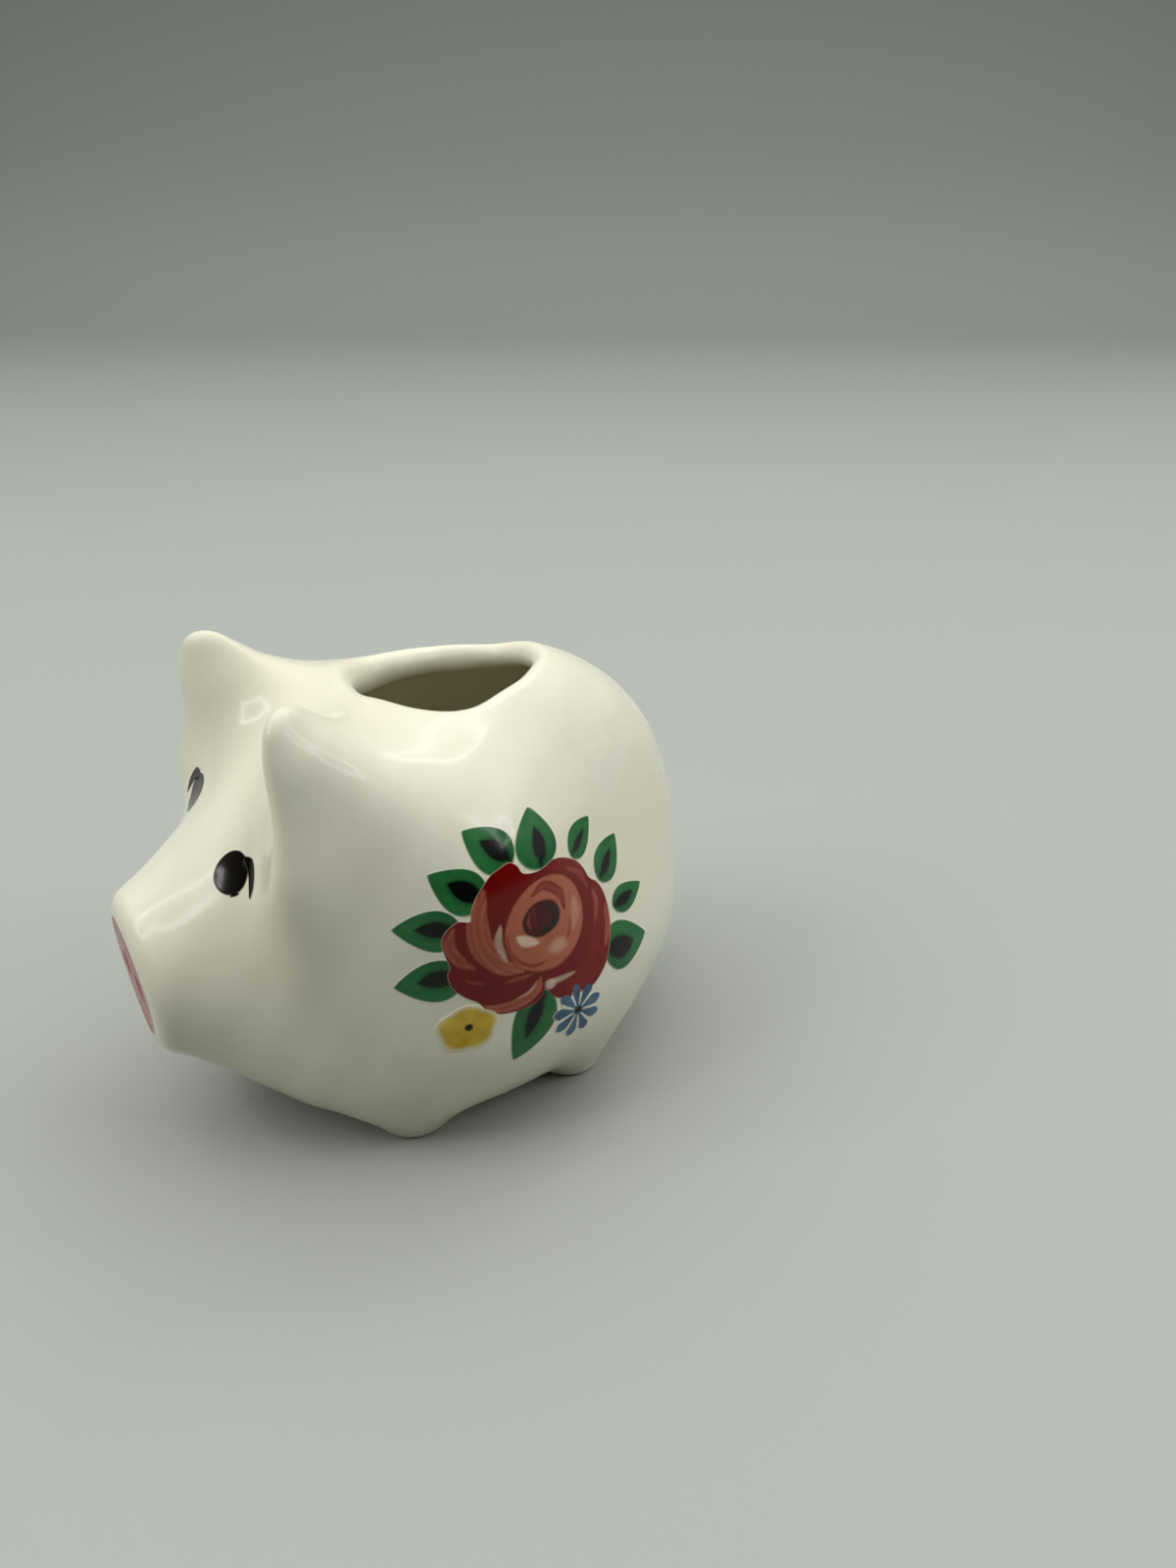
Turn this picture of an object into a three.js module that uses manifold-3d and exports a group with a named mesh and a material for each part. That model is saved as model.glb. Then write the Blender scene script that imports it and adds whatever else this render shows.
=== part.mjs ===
// A miniature slip-cast pottery pig, glazed ivory white, with an open back like a posy or toothpick holder.
// The casting is one hollow piece: body, head, ears and feet melt into each other, the wall has one
// thickness all round, and the mouth in the back has a softly rounded lip. On the glaze lie thin islands of
// fired enamel: the eyes, the pink of the snout, and a traditional rose spray on each flank.
// The pig stands on z = 0, faces -Y, and its left flank looks along +X. All sizes are millimetres.
import * as THREE from 'three';
import { mergeVertices } from 'three/addons/utils/BufferGeometryUtils.js';
import Module from 'manifold-3d';

const wasm = await Module();
wasm.setup();

// The wall of the casting, and the enamel that lies on it
const WALL = 2.8;
const ENAMEL_THICKNESS = 0.3;
const ENAMEL_GAP = 0.3;

// The rump, the chest and the low belly, three egg forms that make the barrel of the body
const RUMP_Y = 6.4;
const RUMP_Z = 25.5;
const RUMP_HALF_WIDTH = 16.5;
const RUMP_HALF_LENGTH = 23.3;
const RUMP_HALF_HEIGHT = 19.1;
const CHEST_Y = -2.8;
const CHEST_Z = 16.1;
const CHEST_HALF_WIDTH = 21.3;
const CHEST_HALF_LENGTH = 21;
const CHEST_HALF_HEIGHT = 20.7;
const BARREL_BLEND = 10.3;
const BELLY_Y = 4.9;
const BELLY_Z = 13.8;
const BELLY_HALF_WIDTH = 20.7;
const BELLY_HALF_LENGTH = 22.6;
const BELLY_HALF_HEIGHT = 11.5;
const BELLY_BLEND = 11.4;
const BELLY_CLEARANCE = 0.6;
const BELLY_FLATTENING = 4;

// The head, a rod that tapers from the neck to the flat snout
const NECK_Y = -8;
const NECK_Z = 20.4;
const NECK_RADIUS = 12.5;
const SNOUT_Y = -29.9;
const SNOUT_Z = 18;
const SNOUT_RADIUS = 6.7;
const SNOUT_TILT = -0.07;
const SNOUT_ENAMEL_RADIUS = 6;
const HEAD_BLEND = 9.1;
const NOSTRIL_RADIUS = 1.2;
const NOSTRIL_DEPTH = 0.8;
const NOSTRIL_SPACING = 4.8;

// The ears, flattened cones that stand up from the cheeks, with a slope behind and a hollow in front
const EAR_ROOT = [12, -13.2, 33];
const EAR_TIP = [12, -15.8, 44.5];
const EAR_ROOT_RADIUS = 5.8;
const EAR_TIP_RADIUS = 2.1;
const EAR_FLATNESS = 0.5;
const EAR_TURN = -0.9;
const EAR_BLEND = 10;
const EAR_SLOPE_TOP = [12.4, -13.4, 41.4];
const EAR_SLOPE_FOOT = [13.5, -2, 29];
const EAR_SLOPE_TOP_RADIUS = 1.6;
const EAR_SLOPE_FOOT_RADIUS = 7.5;
const EAR_SLOPE_BLEND = 7;
const EAR_HOLLOW = [11, -25, 38];
const EAR_HOLLOW_HALF_WIDTH = 6;
const EAR_HOLLOW_HALF_HEIGHT = 9;
const EAR_HOLLOW_BLEND = 2.5;
const FOREHEAD_ROUNDING = 2;

// The feet, four short stubs with flat soles
const FRONT_FOOT_X = 13.7;
const FRONT_FOOT_Y = -7.8;
const REAR_FOOT_X = 14.4;
const REAR_FOOT_Y = 10.8;
const FOOT_RADIUS = 2.3;
const FOOT_TOP_RADIUS = 3.9;
const FOOT_TOP_Z = 9.6;
const FOOT_BLEND = 5.4;

// The mouth in the back, a rounded three-cornered opening: its reach from the middle of the barrel, at even
// turns from the front towards the left flank, the rear and the right flank
const MOUTH_REACH = [8.3, 8.8, 8.9, 8.5, 8.4, 9.9, 12, 12.7, 8.9, 7.6, 8.7, 8.8];

// The skin of the casting: columns round the barrel, closer together at the head, and rows from lip to belly
const BARREL_MIDDLE_Y = 3;
const BARREL_MIDDLE_Z = 20;
const COLUMNS = 96;
const HEAD_CROWDING = 0.45;
const OUTSIDE_ROWS = 40;
const LIP_ROWS = 3;
const INSIDE_ROWS = 12;
const TOP_CROWDING = 1.2;

// The tail, a little curl laid on the rump, over to the right
const TAIL_X = -2;
const TAIL_Z = 25;
const TAIL_RADIUS = 1;
const TAIL_CURL_RADIUS = 2.6;
const TAIL_TURNS = 1.1;

// The eyes, painted by hand on the brow, so that they don't quite match: how far out and how high
const LEFT_EYE_PLACE = [7.2, 30.3];
const RIGHT_EYE_PLACE = [8.2, 31.5];
const EYE_RADIUS = 2.1;

// The rose spray, each motif placed from the rose's heart as the flank is looked at: to the right, and up
const FLANK_Y = 1.4;
const FLANK_Z = 26;
const ROSE_PLACE = [1.6, -1];
const ROSE_HALF_WIDTH = 9.3;
const ROSE_HALF_HEIGHT = 7;
const ROSE_LOBES = 7;
const YELLOW_FLOWER_PLACE = [-6.5, -8.5];
const YELLOW_FLOWER_RADIUS = 2.3;
const YELLOW_FLOWER_PETALS = 5;
const BLUE_FLOWER_PLACE = [4, -10.6];
const BLUE_FLOWER_RADIUS = 2.2;
const BLUE_FLOWER_PETALS = 9;

// Each leaf: where it leaves the rose, how long and how wide it is, and its turn in degrees from the right
const LEAVES = [
  { foot: [-1.5, 6.4], length: 5.1, width: 3.7, way: 133 },
  { foot: [1.9, 6.6], length: 4.4, width: 4.4, way: 84 },
  { foot: [7.6, 4.8], length: 4.7, width: 3, way: 25 },
  { foot: [11.3, 0.2], length: 5, width: 3, way: 34 },
  { foot: [11.6, -3.5], length: 4.9, width: 2, way: 3 },
  { foot: [8.5, -6.8], length: 5.8, width: 3.3, way: -30 },
  { foot: [-4.9, 5], length: 4.4, width: 3.4, way: 159 },
  { foot: [-8, 1.3], length: 4.9, width: 3.7, way: 174 },
  { foot: [-8, -3.5], length: 4.8, width: 3.7, way: -174 },
  { foot: [0.1, -8.7], length: 4.8, width: 3.2, way: -120 },
];

// How the skin is searched for along a line: the share of the gap that a step goes, and when it ends
const STEP_SHARE = 0.7;
const CLOSE_ENOUGH = 0.0005;
const MOST_STEPS = 600;

const v2 = (x, y) => new THREE.Vector2(x, y);
const v3 = (x, y, z) => new THREE.Vector3(x, y, z);
const lerp = THREE.MathUtils.lerp;

// Two forms melt together over a width, or one is trimmed by the other with a rounded edge
function blend(a, b, width) {
  const near = Math.max(width - Math.abs(a - b), 0) / width;
  return Math.min(a, b) - near * near * width / 4;
}

function trim(a, b, width) {
  return -blend(-a, -b, width);
}

// How far a point lies outside an egg form, below zero when it is inside
function egg(p, middle, half) {
  const q = p.clone().sub(middle).divide(half);
  const reach = q.length();
  return reach * (reach - 1) / Math.max(q.divide(half).length(), 1e-9);
}

// The same for a rod with round ends that tapers from one radius to another
function taperedRod(p, start, end, startRadius, endRadius) {
  const axis = end.clone().sub(start);
  const length2 = axis.lengthSq();
  const fall = startRadius - endRadius;
  const side2 = length2 - fall * fall;
  const q = p.clone().sub(start);
  const along = q.dot(axis);
  const past = along - length2;
  const off2 = q.multiplyScalar(length2).addScaledVector(axis, -along).lengthSq();
  const along2 = along * along * length2;
  const past2 = past * past * length2;
  const slant = Math.sign(fall) * fall * fall * off2;
  if (Math.sign(past) * side2 * past2 > slant) return Math.sqrt(off2 + past2) / length2 - endRadius;
  if (Math.sign(along) * side2 * along2 < slant) return Math.sqrt(off2 + along2) / length2 - startRadius;
  return (Math.sqrt(off2 * side2 / length2) + along * fall) / length2 - startRadius;
}

// The barrel and head, which are also the form that the hollow inside follows
const rump = v3(0, RUMP_Y, RUMP_Z);
const rumpHalf = v3(RUMP_HALF_WIDTH, RUMP_HALF_LENGTH, RUMP_HALF_HEIGHT);
const chest = v3(0, CHEST_Y, CHEST_Z);
const chestHalf = v3(CHEST_HALF_WIDTH, CHEST_HALF_LENGTH, CHEST_HALF_HEIGHT);
const belly = v3(0, BELLY_Y, BELLY_Z);
const bellyHalf = v3(BELLY_HALF_WIDTH, BELLY_HALF_LENGTH, BELLY_HALF_HEIGHT);
const neck = v3(0, NECK_Y, NECK_Z);
const snout = v3(0, SNOUT_Y, SNOUT_Z);
const snoutNormal = v3(0, -Math.cos(SNOUT_TILT), Math.sin(SNOUT_TILT));
const headEnd = snout.clone().addScaledVector(snoutNormal, WALL);

function trunk(p) {
  const upper = blend(egg(p, rump, rumpHalf), egg(p, chest, chestHalf), BARREL_BLEND);
  const barrel = blend(upper, egg(p, belly, bellyHalf), BELLY_BLEND);
  const body = blend(barrel, taperedRod(p, neck, headEnd, NECK_RADIUS, SNOUT_RADIUS), HEAD_BLEND);
  return trim(body, BELLY_CLEARANCE - p.z, BELLY_FLATTENING);
}

// One ear and its mirror image: a cone squeezed flat, the slope behind it, and the hollow scooped in front
const earRoot = v3(...EAR_ROOT);
const earTip = v3(...EAR_TIP);
const earAxis = earTip.clone().sub(earRoot).normalize();
const earFacing = v3(Math.sin(EAR_TURN), -Math.cos(EAR_TURN), 0);
earFacing.addScaledVector(earAxis, -earFacing.dot(earAxis)).normalize();
const earSlopeTop = v3(...EAR_SLOPE_TOP);
const earSlopeFoot = v3(...EAR_SLOPE_FOOT);
const earHollow = v3(...EAR_HOLLOW);
const earHollowHalf = v3(EAR_HOLLOW_HALF_WIDTH, EAR_HOLLOW_HALF_WIDTH, EAR_HOLLOW_HALF_HEIGHT);

function ear(q) {
  const squeeze = q.clone().sub(earRoot).dot(earFacing) * (1 / EAR_FLATNESS - 1);
  const flat = q.clone().addScaledVector(earFacing, squeeze);
  const blade = taperedRod(flat, earRoot, earTip, EAR_ROOT_RADIUS, EAR_TIP_RADIUS) * Math.sqrt(EAR_FLATNESS);
  const slope = taperedRod(q, earSlopeTop, earSlopeFoot, EAR_SLOPE_TOP_RADIUS, EAR_SLOPE_FOOT_RADIUS);
  return blend(blade, slope, EAR_SLOPE_BLEND);
}

// A foot is a stub that widens upwards into the belly
function foot(q, x, y) {
  return taperedRod(q, v3(x, y, FOOT_TOP_Z), v3(x, y, 0), FOOT_TOP_RADIUS, FOOT_RADIUS);
}

// The whole outside of the casting, the ears and feet mirrored with a rounded fold between them
function outside(p) {
  const q = v3(Math.hypot(p.x, FOREHEAD_ROUNDING), p.y, p.z);
  let form = blend(trunk(p), ear(q), EAR_BLEND);
  form = trim(form, -egg(q, earHollow, earHollowHalf), EAR_HOLLOW_BLEND);
  form = blend(form, foot(q, FRONT_FOOT_X, FRONT_FOOT_Y), FOOT_BLEND);
  return blend(form, foot(q, REAR_FOOT_X, REAR_FOOT_Y), FOOT_BLEND);
}

// The hollow follows the barrel and the head one wall further in
function inside(p) {
  return Math.max(trunk(p), p.clone().sub(snout).dot(snoutNormal)) + WALL;
}

// Where the skin is, found along a line that comes in from outside, and the way that the skin faces there
function slope(form, p) {
  const d = 0.02;
  return v3(
    form(v3(p.x + d, p.y, p.z)) - form(v3(p.x - d, p.y, p.z)),
    form(v3(p.x, p.y + d, p.z)) - form(v3(p.x, p.y - d, p.z)),
    form(v3(p.x, p.y, p.z + d)) - form(v3(p.x, p.y, p.z - d)),
  ).divideScalar(2 * d);
}

function landOn(form, start, inward) {
  const point = start.clone();
  for (let i = 0; i < MOST_STEPS; i += 1) {
    const gap = form(point);
    if (Math.abs(gap) < CLOSE_ENOUGH) break;
    point.addScaledVector(inward, gap * STEP_SHARE);
  }
  return { point, normal: slope(form, point).normalize() };
}

// One way out from the middle of the barrel, by its turn from the front and its tip down from upright
function wayOut(turn, tip) {
  return v3(Math.sin(tip) * Math.sin(turn), -Math.sin(tip) * Math.cos(turn), Math.cos(tip));
}

const barrelMiddle = v3(0, BARREL_MIDDLE_Y, BARREL_MIDDLE_Z);
const FAR_OUT = 2 * Math.max(RUMP_HALF_LENGTH, RUMP_HALF_WIDTH, RUMP_HALF_HEIGHT);

function landFromMiddle(form, way) {
  return landOn(form, barrelMiddle.clone().addScaledVector(way, FAR_OUT), way.clone().negate()).point;
}

// The mouth's reach at any turn, on a smooth closed curve through the given ones
const mouthReaches = MOUTH_REACH.map((reach) => v3(reach, 0, 0));
const mouthCurve = new THREE.CatmullRomCurve3(mouthReaches, true, 'catmullrom');

function mouthReach(turn) {
  return mouthCurve.getPoint(THREE.MathUtils.euclideanModulo(turn / (2 * Math.PI), 1)).x;
}

// One column of the skin, from under the belly up to the lip, over it and down to the floor of the hollow
function skinColumn(turn) {
  const reach = mouthReach(turn) + WALL / 2;
  const above = wayOut(turn, Math.PI / 2).multiplyScalar(reach).add(barrelMiddle).setZ(FAR_OUT);
  const lip = landOn(outside, above, v3(0, 0, -1));
  const tipOf = (point) => point.clone().sub(barrelMiddle).angleTo(v3(0, 0, 1));
  const lipInside = lip.point.clone().addScaledVector(lip.normal, -WALL);
  const column = [];

  const lipTip = tipOf(lip.point);
  for (let row = OUTSIDE_ROWS - 1; row > 0; row -= 1) {
    const share = (row / OUTSIDE_ROWS) ** TOP_CROWDING;
    column.push(landFromMiddle(outside, wayOut(turn, lerp(lipTip, Math.PI, share))));
  }

  const innerTip = tipOf(lipInside);
  const innerLip = landFromMiddle(inside, wayOut(turn, innerTip));
  const middle = lip.point.clone().lerp(innerLip, 0.5);
  const half = lip.point.clone().sub(middle);
  const inward = wayOut(turn, Math.PI / 2).negate();
  inward.addScaledVector(half, -inward.dot(half) / half.lengthSq()).setLength(half.length());
  for (let row = 0; row <= LIP_ROWS + 1; row += 1) {
    const round = Math.PI * row / (LIP_ROWS + 1);
    const point = middle.clone().addScaledVector(half, Math.cos(round));
    column.push(point.addScaledVector(inward, Math.sin(round)));
  }

  for (let row = 1; row < INSIDE_ROWS; row += 1) {
    column.push(landFromMiddle(inside, wayOut(turn, lerp(innerTip, Math.PI, row / INSIDE_ROWS))));
  }
  return column;
}

// The columns are joined into one closed skin, with a single point at the bottom of each side
function laySkin() {
  const columns = Array.from({ length: COLUMNS }, (_, i) => {
    const even = 2 * Math.PI * i / COLUMNS;
    return skinColumn(even - HEAD_CROWDING * Math.sin(even));
  });
  const rows = columns[0].length;
  const at = (i, row) => (i % COLUMNS) * rows + row;
  const points = columns.flat();
  const under = points.push(landFromMiddle(outside, v3(0, 0, -1))) - 1;
  const floor = points.push(landFromMiddle(inside, v3(0, 0, -1))) - 1;
  const triangles = [];
  for (let i = 0; i < COLUMNS; i += 1) {
    triangles.push(under, at(i + 1, 0), at(i, 0), floor, at(i, rows - 1), at(i + 1, rows - 1));
    for (let row = 0; row + 1 < rows; row += 1) {
      const [a, b, c, d] = [at(i, row), at(i + 1, row), at(i + 1, row + 1), at(i, row + 1)];
      const shorter = points[a].distanceTo(points[c]) < points[b].distanceTo(points[d]);
      triangles.push(...(shorter ? [a, b, c, a, c, d] : [b, c, d, b, d, a]));
    }
  }
  return meshOf(points, triangles);
}

function meshOf(points, triangles) {
  const geometry = new THREE.BufferGeometry();
  geometry.setAttribute('position', new THREE.Float32BufferAttribute(points.flatMap((p) => p.toArray()), 3));
  geometry.setIndex(triangles);
  return geometry;
}

// Closed meshes to solids and back, for cutting and joining
function solidOf(geometry) {
  const bare = geometry.clone();
  bare.deleteAttribute('normal');
  bare.deleteAttribute('uv');
  const merged = mergeVertices(bare, 1e-4);
  return new wasm.Manifold(new wasm.Mesh({
    numProp: 3,
    vertProperties: Float32Array.from(merged.attributes.position.array),
    triVerts: Uint32Array.from(merged.index.array),
  }));
}

function geometryOf(solid) {
  const mesh = solid.getMesh();
  const geometry = new THREE.BufferGeometry();
  geometry.setAttribute('position', new THREE.BufferAttribute(Float32Array.from(mesh.vertProperties), 3));
  geometry.setIndex(new THREE.BufferAttribute(Uint32Array.from(mesh.triVerts), 1));
  return geometry;
}

// The casting's skin, cut flat at the snout and the soles, with two nostrils pressed into the snout
// and the tail's curl laid on the rump
function makeCasting() {
  let solid = solidOf(laySkin());

  const ground = new THREE.BoxGeometry(FAR_OUT * 2, FAR_OUT * 2, FAR_OUT);
  ground.translate(0, 0, -FAR_OUT / 2);
  solid = solid.subtract(solidOf(ground));

  const face = new THREE.BoxGeometry(FAR_OUT, FAR_OUT, FAR_OUT);
  face.translate(0, 0, FAR_OUT / 2);
  face.lookAt(snoutNormal);
  face.translate(snout.x, snout.y, snout.z);
  solid = solid.subtract(solidOf(face));

  for (const side of [-1, 1]) {
    const ballRadius = (NOSTRIL_RADIUS ** 2 + NOSTRIL_DEPTH ** 2) / (2 * NOSTRIL_DEPTH);
    const ball = new THREE.SphereGeometry(ballRadius, 16, 10);
    const middle = snout.clone().addScaledVector(snoutNormal, ballRadius - NOSTRIL_DEPTH);
    ball.translate(middle.x + side * NOSTRIL_SPACING / 2, middle.y, middle.z);
    solid = solid.subtract(solidOf(ball));
  }
  return geometryOf(solid.add(makeTail()));
}

// The tail's tube starts and ends inside the wall and lies half sunk in the rump between
function makeTail() {
  class Curl extends THREE.Curve {
    getPoint(t, target = v3(0, 0, 0)) {
      const turn = Math.PI / 2 + 2 * Math.PI * TAIL_TURNS * t;
      const reach = TAIL_CURL_RADIUS * (1 - 0.45 * t);
      const x = TAIL_X + reach * Math.cos(turn);
      const z = TAIL_Z + reach * Math.sin(turn);
      const seat = landOn(outside, v3(x, FAR_OUT, z), v3(0, -1, 0));
      const rise = TAIL_RADIUS * (Math.sin(Math.PI * t) ** 0.5 * 2 - 1.4);
      return target.copy(seat.point).addScaledVector(seat.normal, rise);
    }
  }
  const section = new THREE.Shape(new THREE.EllipseCurve(0, 0, TAIL_RADIUS, TAIL_RADIUS).getPoints(8));
  return solidOf(new THREE.ExtrudeGeometry(section, { steps: 26, extrudePath: new Curl() }));
}

// A thin island of enamel on the skin: rings of its outline shrink towards its middle, and each point
// of them is seated on the skin by the given rule
function makeIsland(outline, rings, seat) {
  const middle = outline.reduce((sum, p) => sum.add(p), v2(0, 0)).divideScalar(outline.length);
  const places = [middle];
  for (let ring = 1; ring <= rings; ring += 1) {
    outline.forEach((p) => places.push(middle.clone().lerp(p, ring / rings)));
  }
  const seats = places.map(seat);
  const layers = [ENAMEL_GAP + ENAMEL_THICKNESS, ENAMEL_GAP];
  const points = layers.flatMap((rise) => seats.map((s) => s.point.clone().addScaledVector(s.normal, rise)));

  const n = outline.length;
  const at = (ring, i) => (ring === 0 ? 0 : 1 + (ring - 1) * n + (i % n));
  const below = places.length;
  const triangles = [];
  for (let i = 0; i < n; i += 1) {
    for (let ring = 0; ring < rings; ring += 1) {
      const a = at(ring, i);
      const b = at(ring + 1, i);
      const c = at(ring + 1, i + 1);
      const d = at(ring, i + 1);
      triangles.push(a, b, c, below + a, below + c, below + b);
      if (ring > 0) triangles.push(a, c, d, below + a, below + d, below + c);
    }
    const rim = at(rings, i);
    const next = at(rings, i + 1);
    triangles.push(rim, below + rim, below + next, rim, below + next, next);
  }
  return meshOf(points, triangles);
}

// A place on a flank is a turn away from straight out, so that lengths along the skin stay true
const flankMiddle = v3(0, FLANK_Y, FLANK_Z);
const FLANK_REACH = landOn(outside, v3(FAR_OUT, FLANK_Y, FLANK_Z), v3(-1, 0, 0)).point.x;

function flankSeat(side) {
  return (place) => {
    const far = place.length();
    const turn = far / FLANK_REACH;
    const along = far > 0 ? Math.sin(turn) / far : 0;
    const outward = v3(side * Math.cos(turn), side * place.x * along, place.y * along);
    return landOn(outside, flankMiddle.clone().addScaledVector(outward, FAR_OUT), outward.negate());
  };
}

// An eye is seated from in front, on a line that comes in square to the brow
function eyeSeat(side, [out, up]) {
  const middle = landOn(outside, v3(side * out, SNOUT_Y, up), v3(0, 1, 0));
  const across = v3(0, 0, 1).cross(middle.normal).normalize();
  const upwards = middle.normal.clone().cross(across);
  return (place) => {
    const start = middle.point.clone().addScaledVector(across, place.x).addScaledVector(upwards, place.y);
    start.addScaledVector(middle.normal, EYE_RADIUS);
    return landOn(outside, start, middle.normal.clone().negate());
  };
}

// Outlines of the motifs, as closed rows of points round a middle
function lobed(place, halfWidth, halfHeight, lobes, depth, count) {
  return Array.from({ length: count }, (_, i) => {
    const turn = 2 * Math.PI * i / count;
    const share = 1 - depth * (1 - Math.abs(Math.sin(lobes * turn / 2)));
    return v2(place[0] + share * halfWidth * Math.cos(turn), place[1] + share * halfHeight * Math.sin(turn));
  });
}

function flower(place, radius, petals, count) {
  return lobed(place, radius, radius, petals, 0.2, count);
}

function leafShape({ foot: [x, y], length, width, way }) {
  const turn = THREE.MathUtils.degToRad(way);
  const steps = 6;
  const side = (sign) => Array.from({ length: steps }, (_, i) => {
    const t = sign < 0 ? i / steps : 1 - i / steps;
    return v2(length * t, sign * width / 2 * Math.sin(Math.PI * t ** 0.8));
  });
  return [...side(-1), ...side(1)].map((p) => p.rotateAround(v2(0, 0), turn).add(v2(x, y)));
}

// The pink of the snout, a disc with the two nostrils left open
function makeSnoutEnamel() {
  const disc = new THREE.Shape().absarc(0, 0, SNOUT_ENAMEL_RADIUS, 0, 2 * Math.PI);
  for (const side of [-1, 1]) {
    disc.holes.push(new THREE.Path().absarc(side * NOSTRIL_SPACING / 2, 0, NOSTRIL_RADIUS, 0, 2 * Math.PI));
  }
  const geometry = new THREE.ExtrudeGeometry(disc, {
    depth: ENAMEL_THICKNESS, bevelEnabled: false, curveSegments: 14,
  });
  geometry.translate(0, 0, ENAMEL_GAP);
  geometry.lookAt(snoutNormal);
  return geometry.translate(snout.x, snout.y, snout.z);
}

// Glaze and enamel colours
const finish = (color, roughness) => new THREE.MeshStandardMaterial({ color, roughness, metalness: 0 });
const GLAZE = finish('#eeeee2', 0.12);
const BLACK = finish('#17140f', 0.2);
const PINK = finish('#b0646a', 0.3);
const GREEN = finish('#2c6f49', 0.25);
const RED = finish('#8a1a16', 0.25);
const YELLOW = finish('#cda53c', 0.3);
const BLUE = finish('#4a6f9c', 0.3);

const pig = new THREE.Group();

function addPiece(name, geometry, material) {
  const piece = new THREE.Mesh(geometry, material);
  piece.name = name;
  pig.add(piece);
}

addPiece('pig_casting', makeCasting(), GLAZE);
addPiece('snout_enamel', makeSnoutEnamel(), PINK);

function addEye(name, side, place) {
  const round = lobed([0, 0], EYE_RADIUS, EYE_RADIUS, 0, 0, 14);
  addPiece(name, makeIsland(round, 1, eyeSeat(side, place)), BLACK);
}

addEye('left_eye', 1, LEFT_EYE_PLACE);
addEye('right_eye', -1, RIGHT_EYE_PLACE);

for (const [name, side] of [['left', 1], ['right', -1]]) {
  const flank = flankSeat(side);
  const rose = lobed(ROSE_PLACE, ROSE_HALF_WIDTH, ROSE_HALF_HEIGHT, ROSE_LOBES, 0.1, 28);
  addPiece(`${name}_rose`, makeIsland(rose, 4, flank), RED);
  const yellow = flower(YELLOW_FLOWER_PLACE, YELLOW_FLOWER_RADIUS, YELLOW_FLOWER_PETALS, 20);
  addPiece(`${name}_yellow_flower`, makeIsland(yellow, 1, flank), YELLOW);
  const blue = flower(BLUE_FLOWER_PLACE, BLUE_FLOWER_RADIUS, BLUE_FLOWER_PETALS, 27);
  addPiece(`${name}_blue_flower`, makeIsland(blue, 1, flank), BLUE);
  LEAVES.forEach((leaf, i) => {
    addPiece(`${name}_leaf_${i + 1}`, makeIsland(leafShape(leaf), 1, flank), GREEN);
  });
}

// The origin lies on the ground, under the middle of the pig's length
const extent = new THREE.Box3().setFromObject(pig);
pig.position.y = -(extent.min.y + extent.max.y) / 2;

export default pig;
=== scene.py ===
# A miniature slip-cast pottery pig with an open back, dressed over its CAD frame.
# The casting is laid as one fine skin over the same forms as the CAD source, with softened edges, a curled
# tail and the slight unevenness of hand-cast ware. The fired enamel lies on it as thin islands that follow
# the glaze: two eyes, the snout, and a traditional rose spray on each flank, brushed stroke by stroke.
# Shapes are worked out in millimetres, pig facing -Y with its left flank towards +X, and made in metres.
import math
from collections import namedtuple

import bpy
import numpy as np
from bpy.props import FloatProperty, FloatVectorProperty, IntProperty, PointerProperty
from mathutils import Matrix, Vector


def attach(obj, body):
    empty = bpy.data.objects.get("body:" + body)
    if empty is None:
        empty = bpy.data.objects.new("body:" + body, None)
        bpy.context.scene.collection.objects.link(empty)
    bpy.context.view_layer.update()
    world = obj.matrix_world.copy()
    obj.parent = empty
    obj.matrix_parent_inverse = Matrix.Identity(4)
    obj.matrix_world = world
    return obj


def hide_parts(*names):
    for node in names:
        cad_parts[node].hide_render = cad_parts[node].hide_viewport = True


bl_info = {
    "name": "Miniature Pottery Pig",
    "version": (1, 0, 0),
    "blender": (4, 5, 0),
    "location": "3D View > Sidebar > Pig",
    "description": "Glazed casting and fired enamels of a miniature pottery pig",
    "category": "Add Mesh",
}

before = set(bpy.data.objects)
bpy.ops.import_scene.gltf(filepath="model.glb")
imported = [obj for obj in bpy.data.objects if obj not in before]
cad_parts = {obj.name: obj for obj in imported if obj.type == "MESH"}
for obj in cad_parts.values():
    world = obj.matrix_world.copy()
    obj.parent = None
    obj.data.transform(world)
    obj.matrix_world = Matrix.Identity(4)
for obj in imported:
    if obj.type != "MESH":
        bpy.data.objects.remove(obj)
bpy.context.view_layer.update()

MM = 0.001
TAU = 2 * math.pi

# The pig's forms stand this far along Y from where the frame has its middle
FRAME_SHIFT = np.array([0, -0.465, 0])


def millimetres(x, y, z):
    return np.array([x, y, z], float)


# Rump, chest and low belly make the barrel, and a tapering rod makes the head
RUMP = millimetres(0, 6.4, 25.5)
RUMP_HALF = millimetres(16.5, 23.3, 19.1)
CHEST = millimetres(0, -2.8, 16.1)
CHEST_HALF = millimetres(21.3, 21, 20.7)
BARREL_BLEND = 10.3
BELLY = millimetres(0, 4.9, 13.8)
BELLY_HALF = millimetres(20.7, 22.6, 11.5)
BELLY_BLEND = 11.4
BELLY_CLEARANCE = 0.6
BELLY_FLATTENING = 4
NECK = millimetres(0, -8, 20.4)
NECK_RADIUS = 12.5
SNOUT = millimetres(0, -29.9, 18)
SNOUT_RADIUS = 6.7
SNOUT_TILT = -0.07
SNOUT_NORMAL = millimetres(0, -math.cos(SNOUT_TILT), math.sin(SNOUT_TILT))
HEAD_BLEND = 9.1

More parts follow.
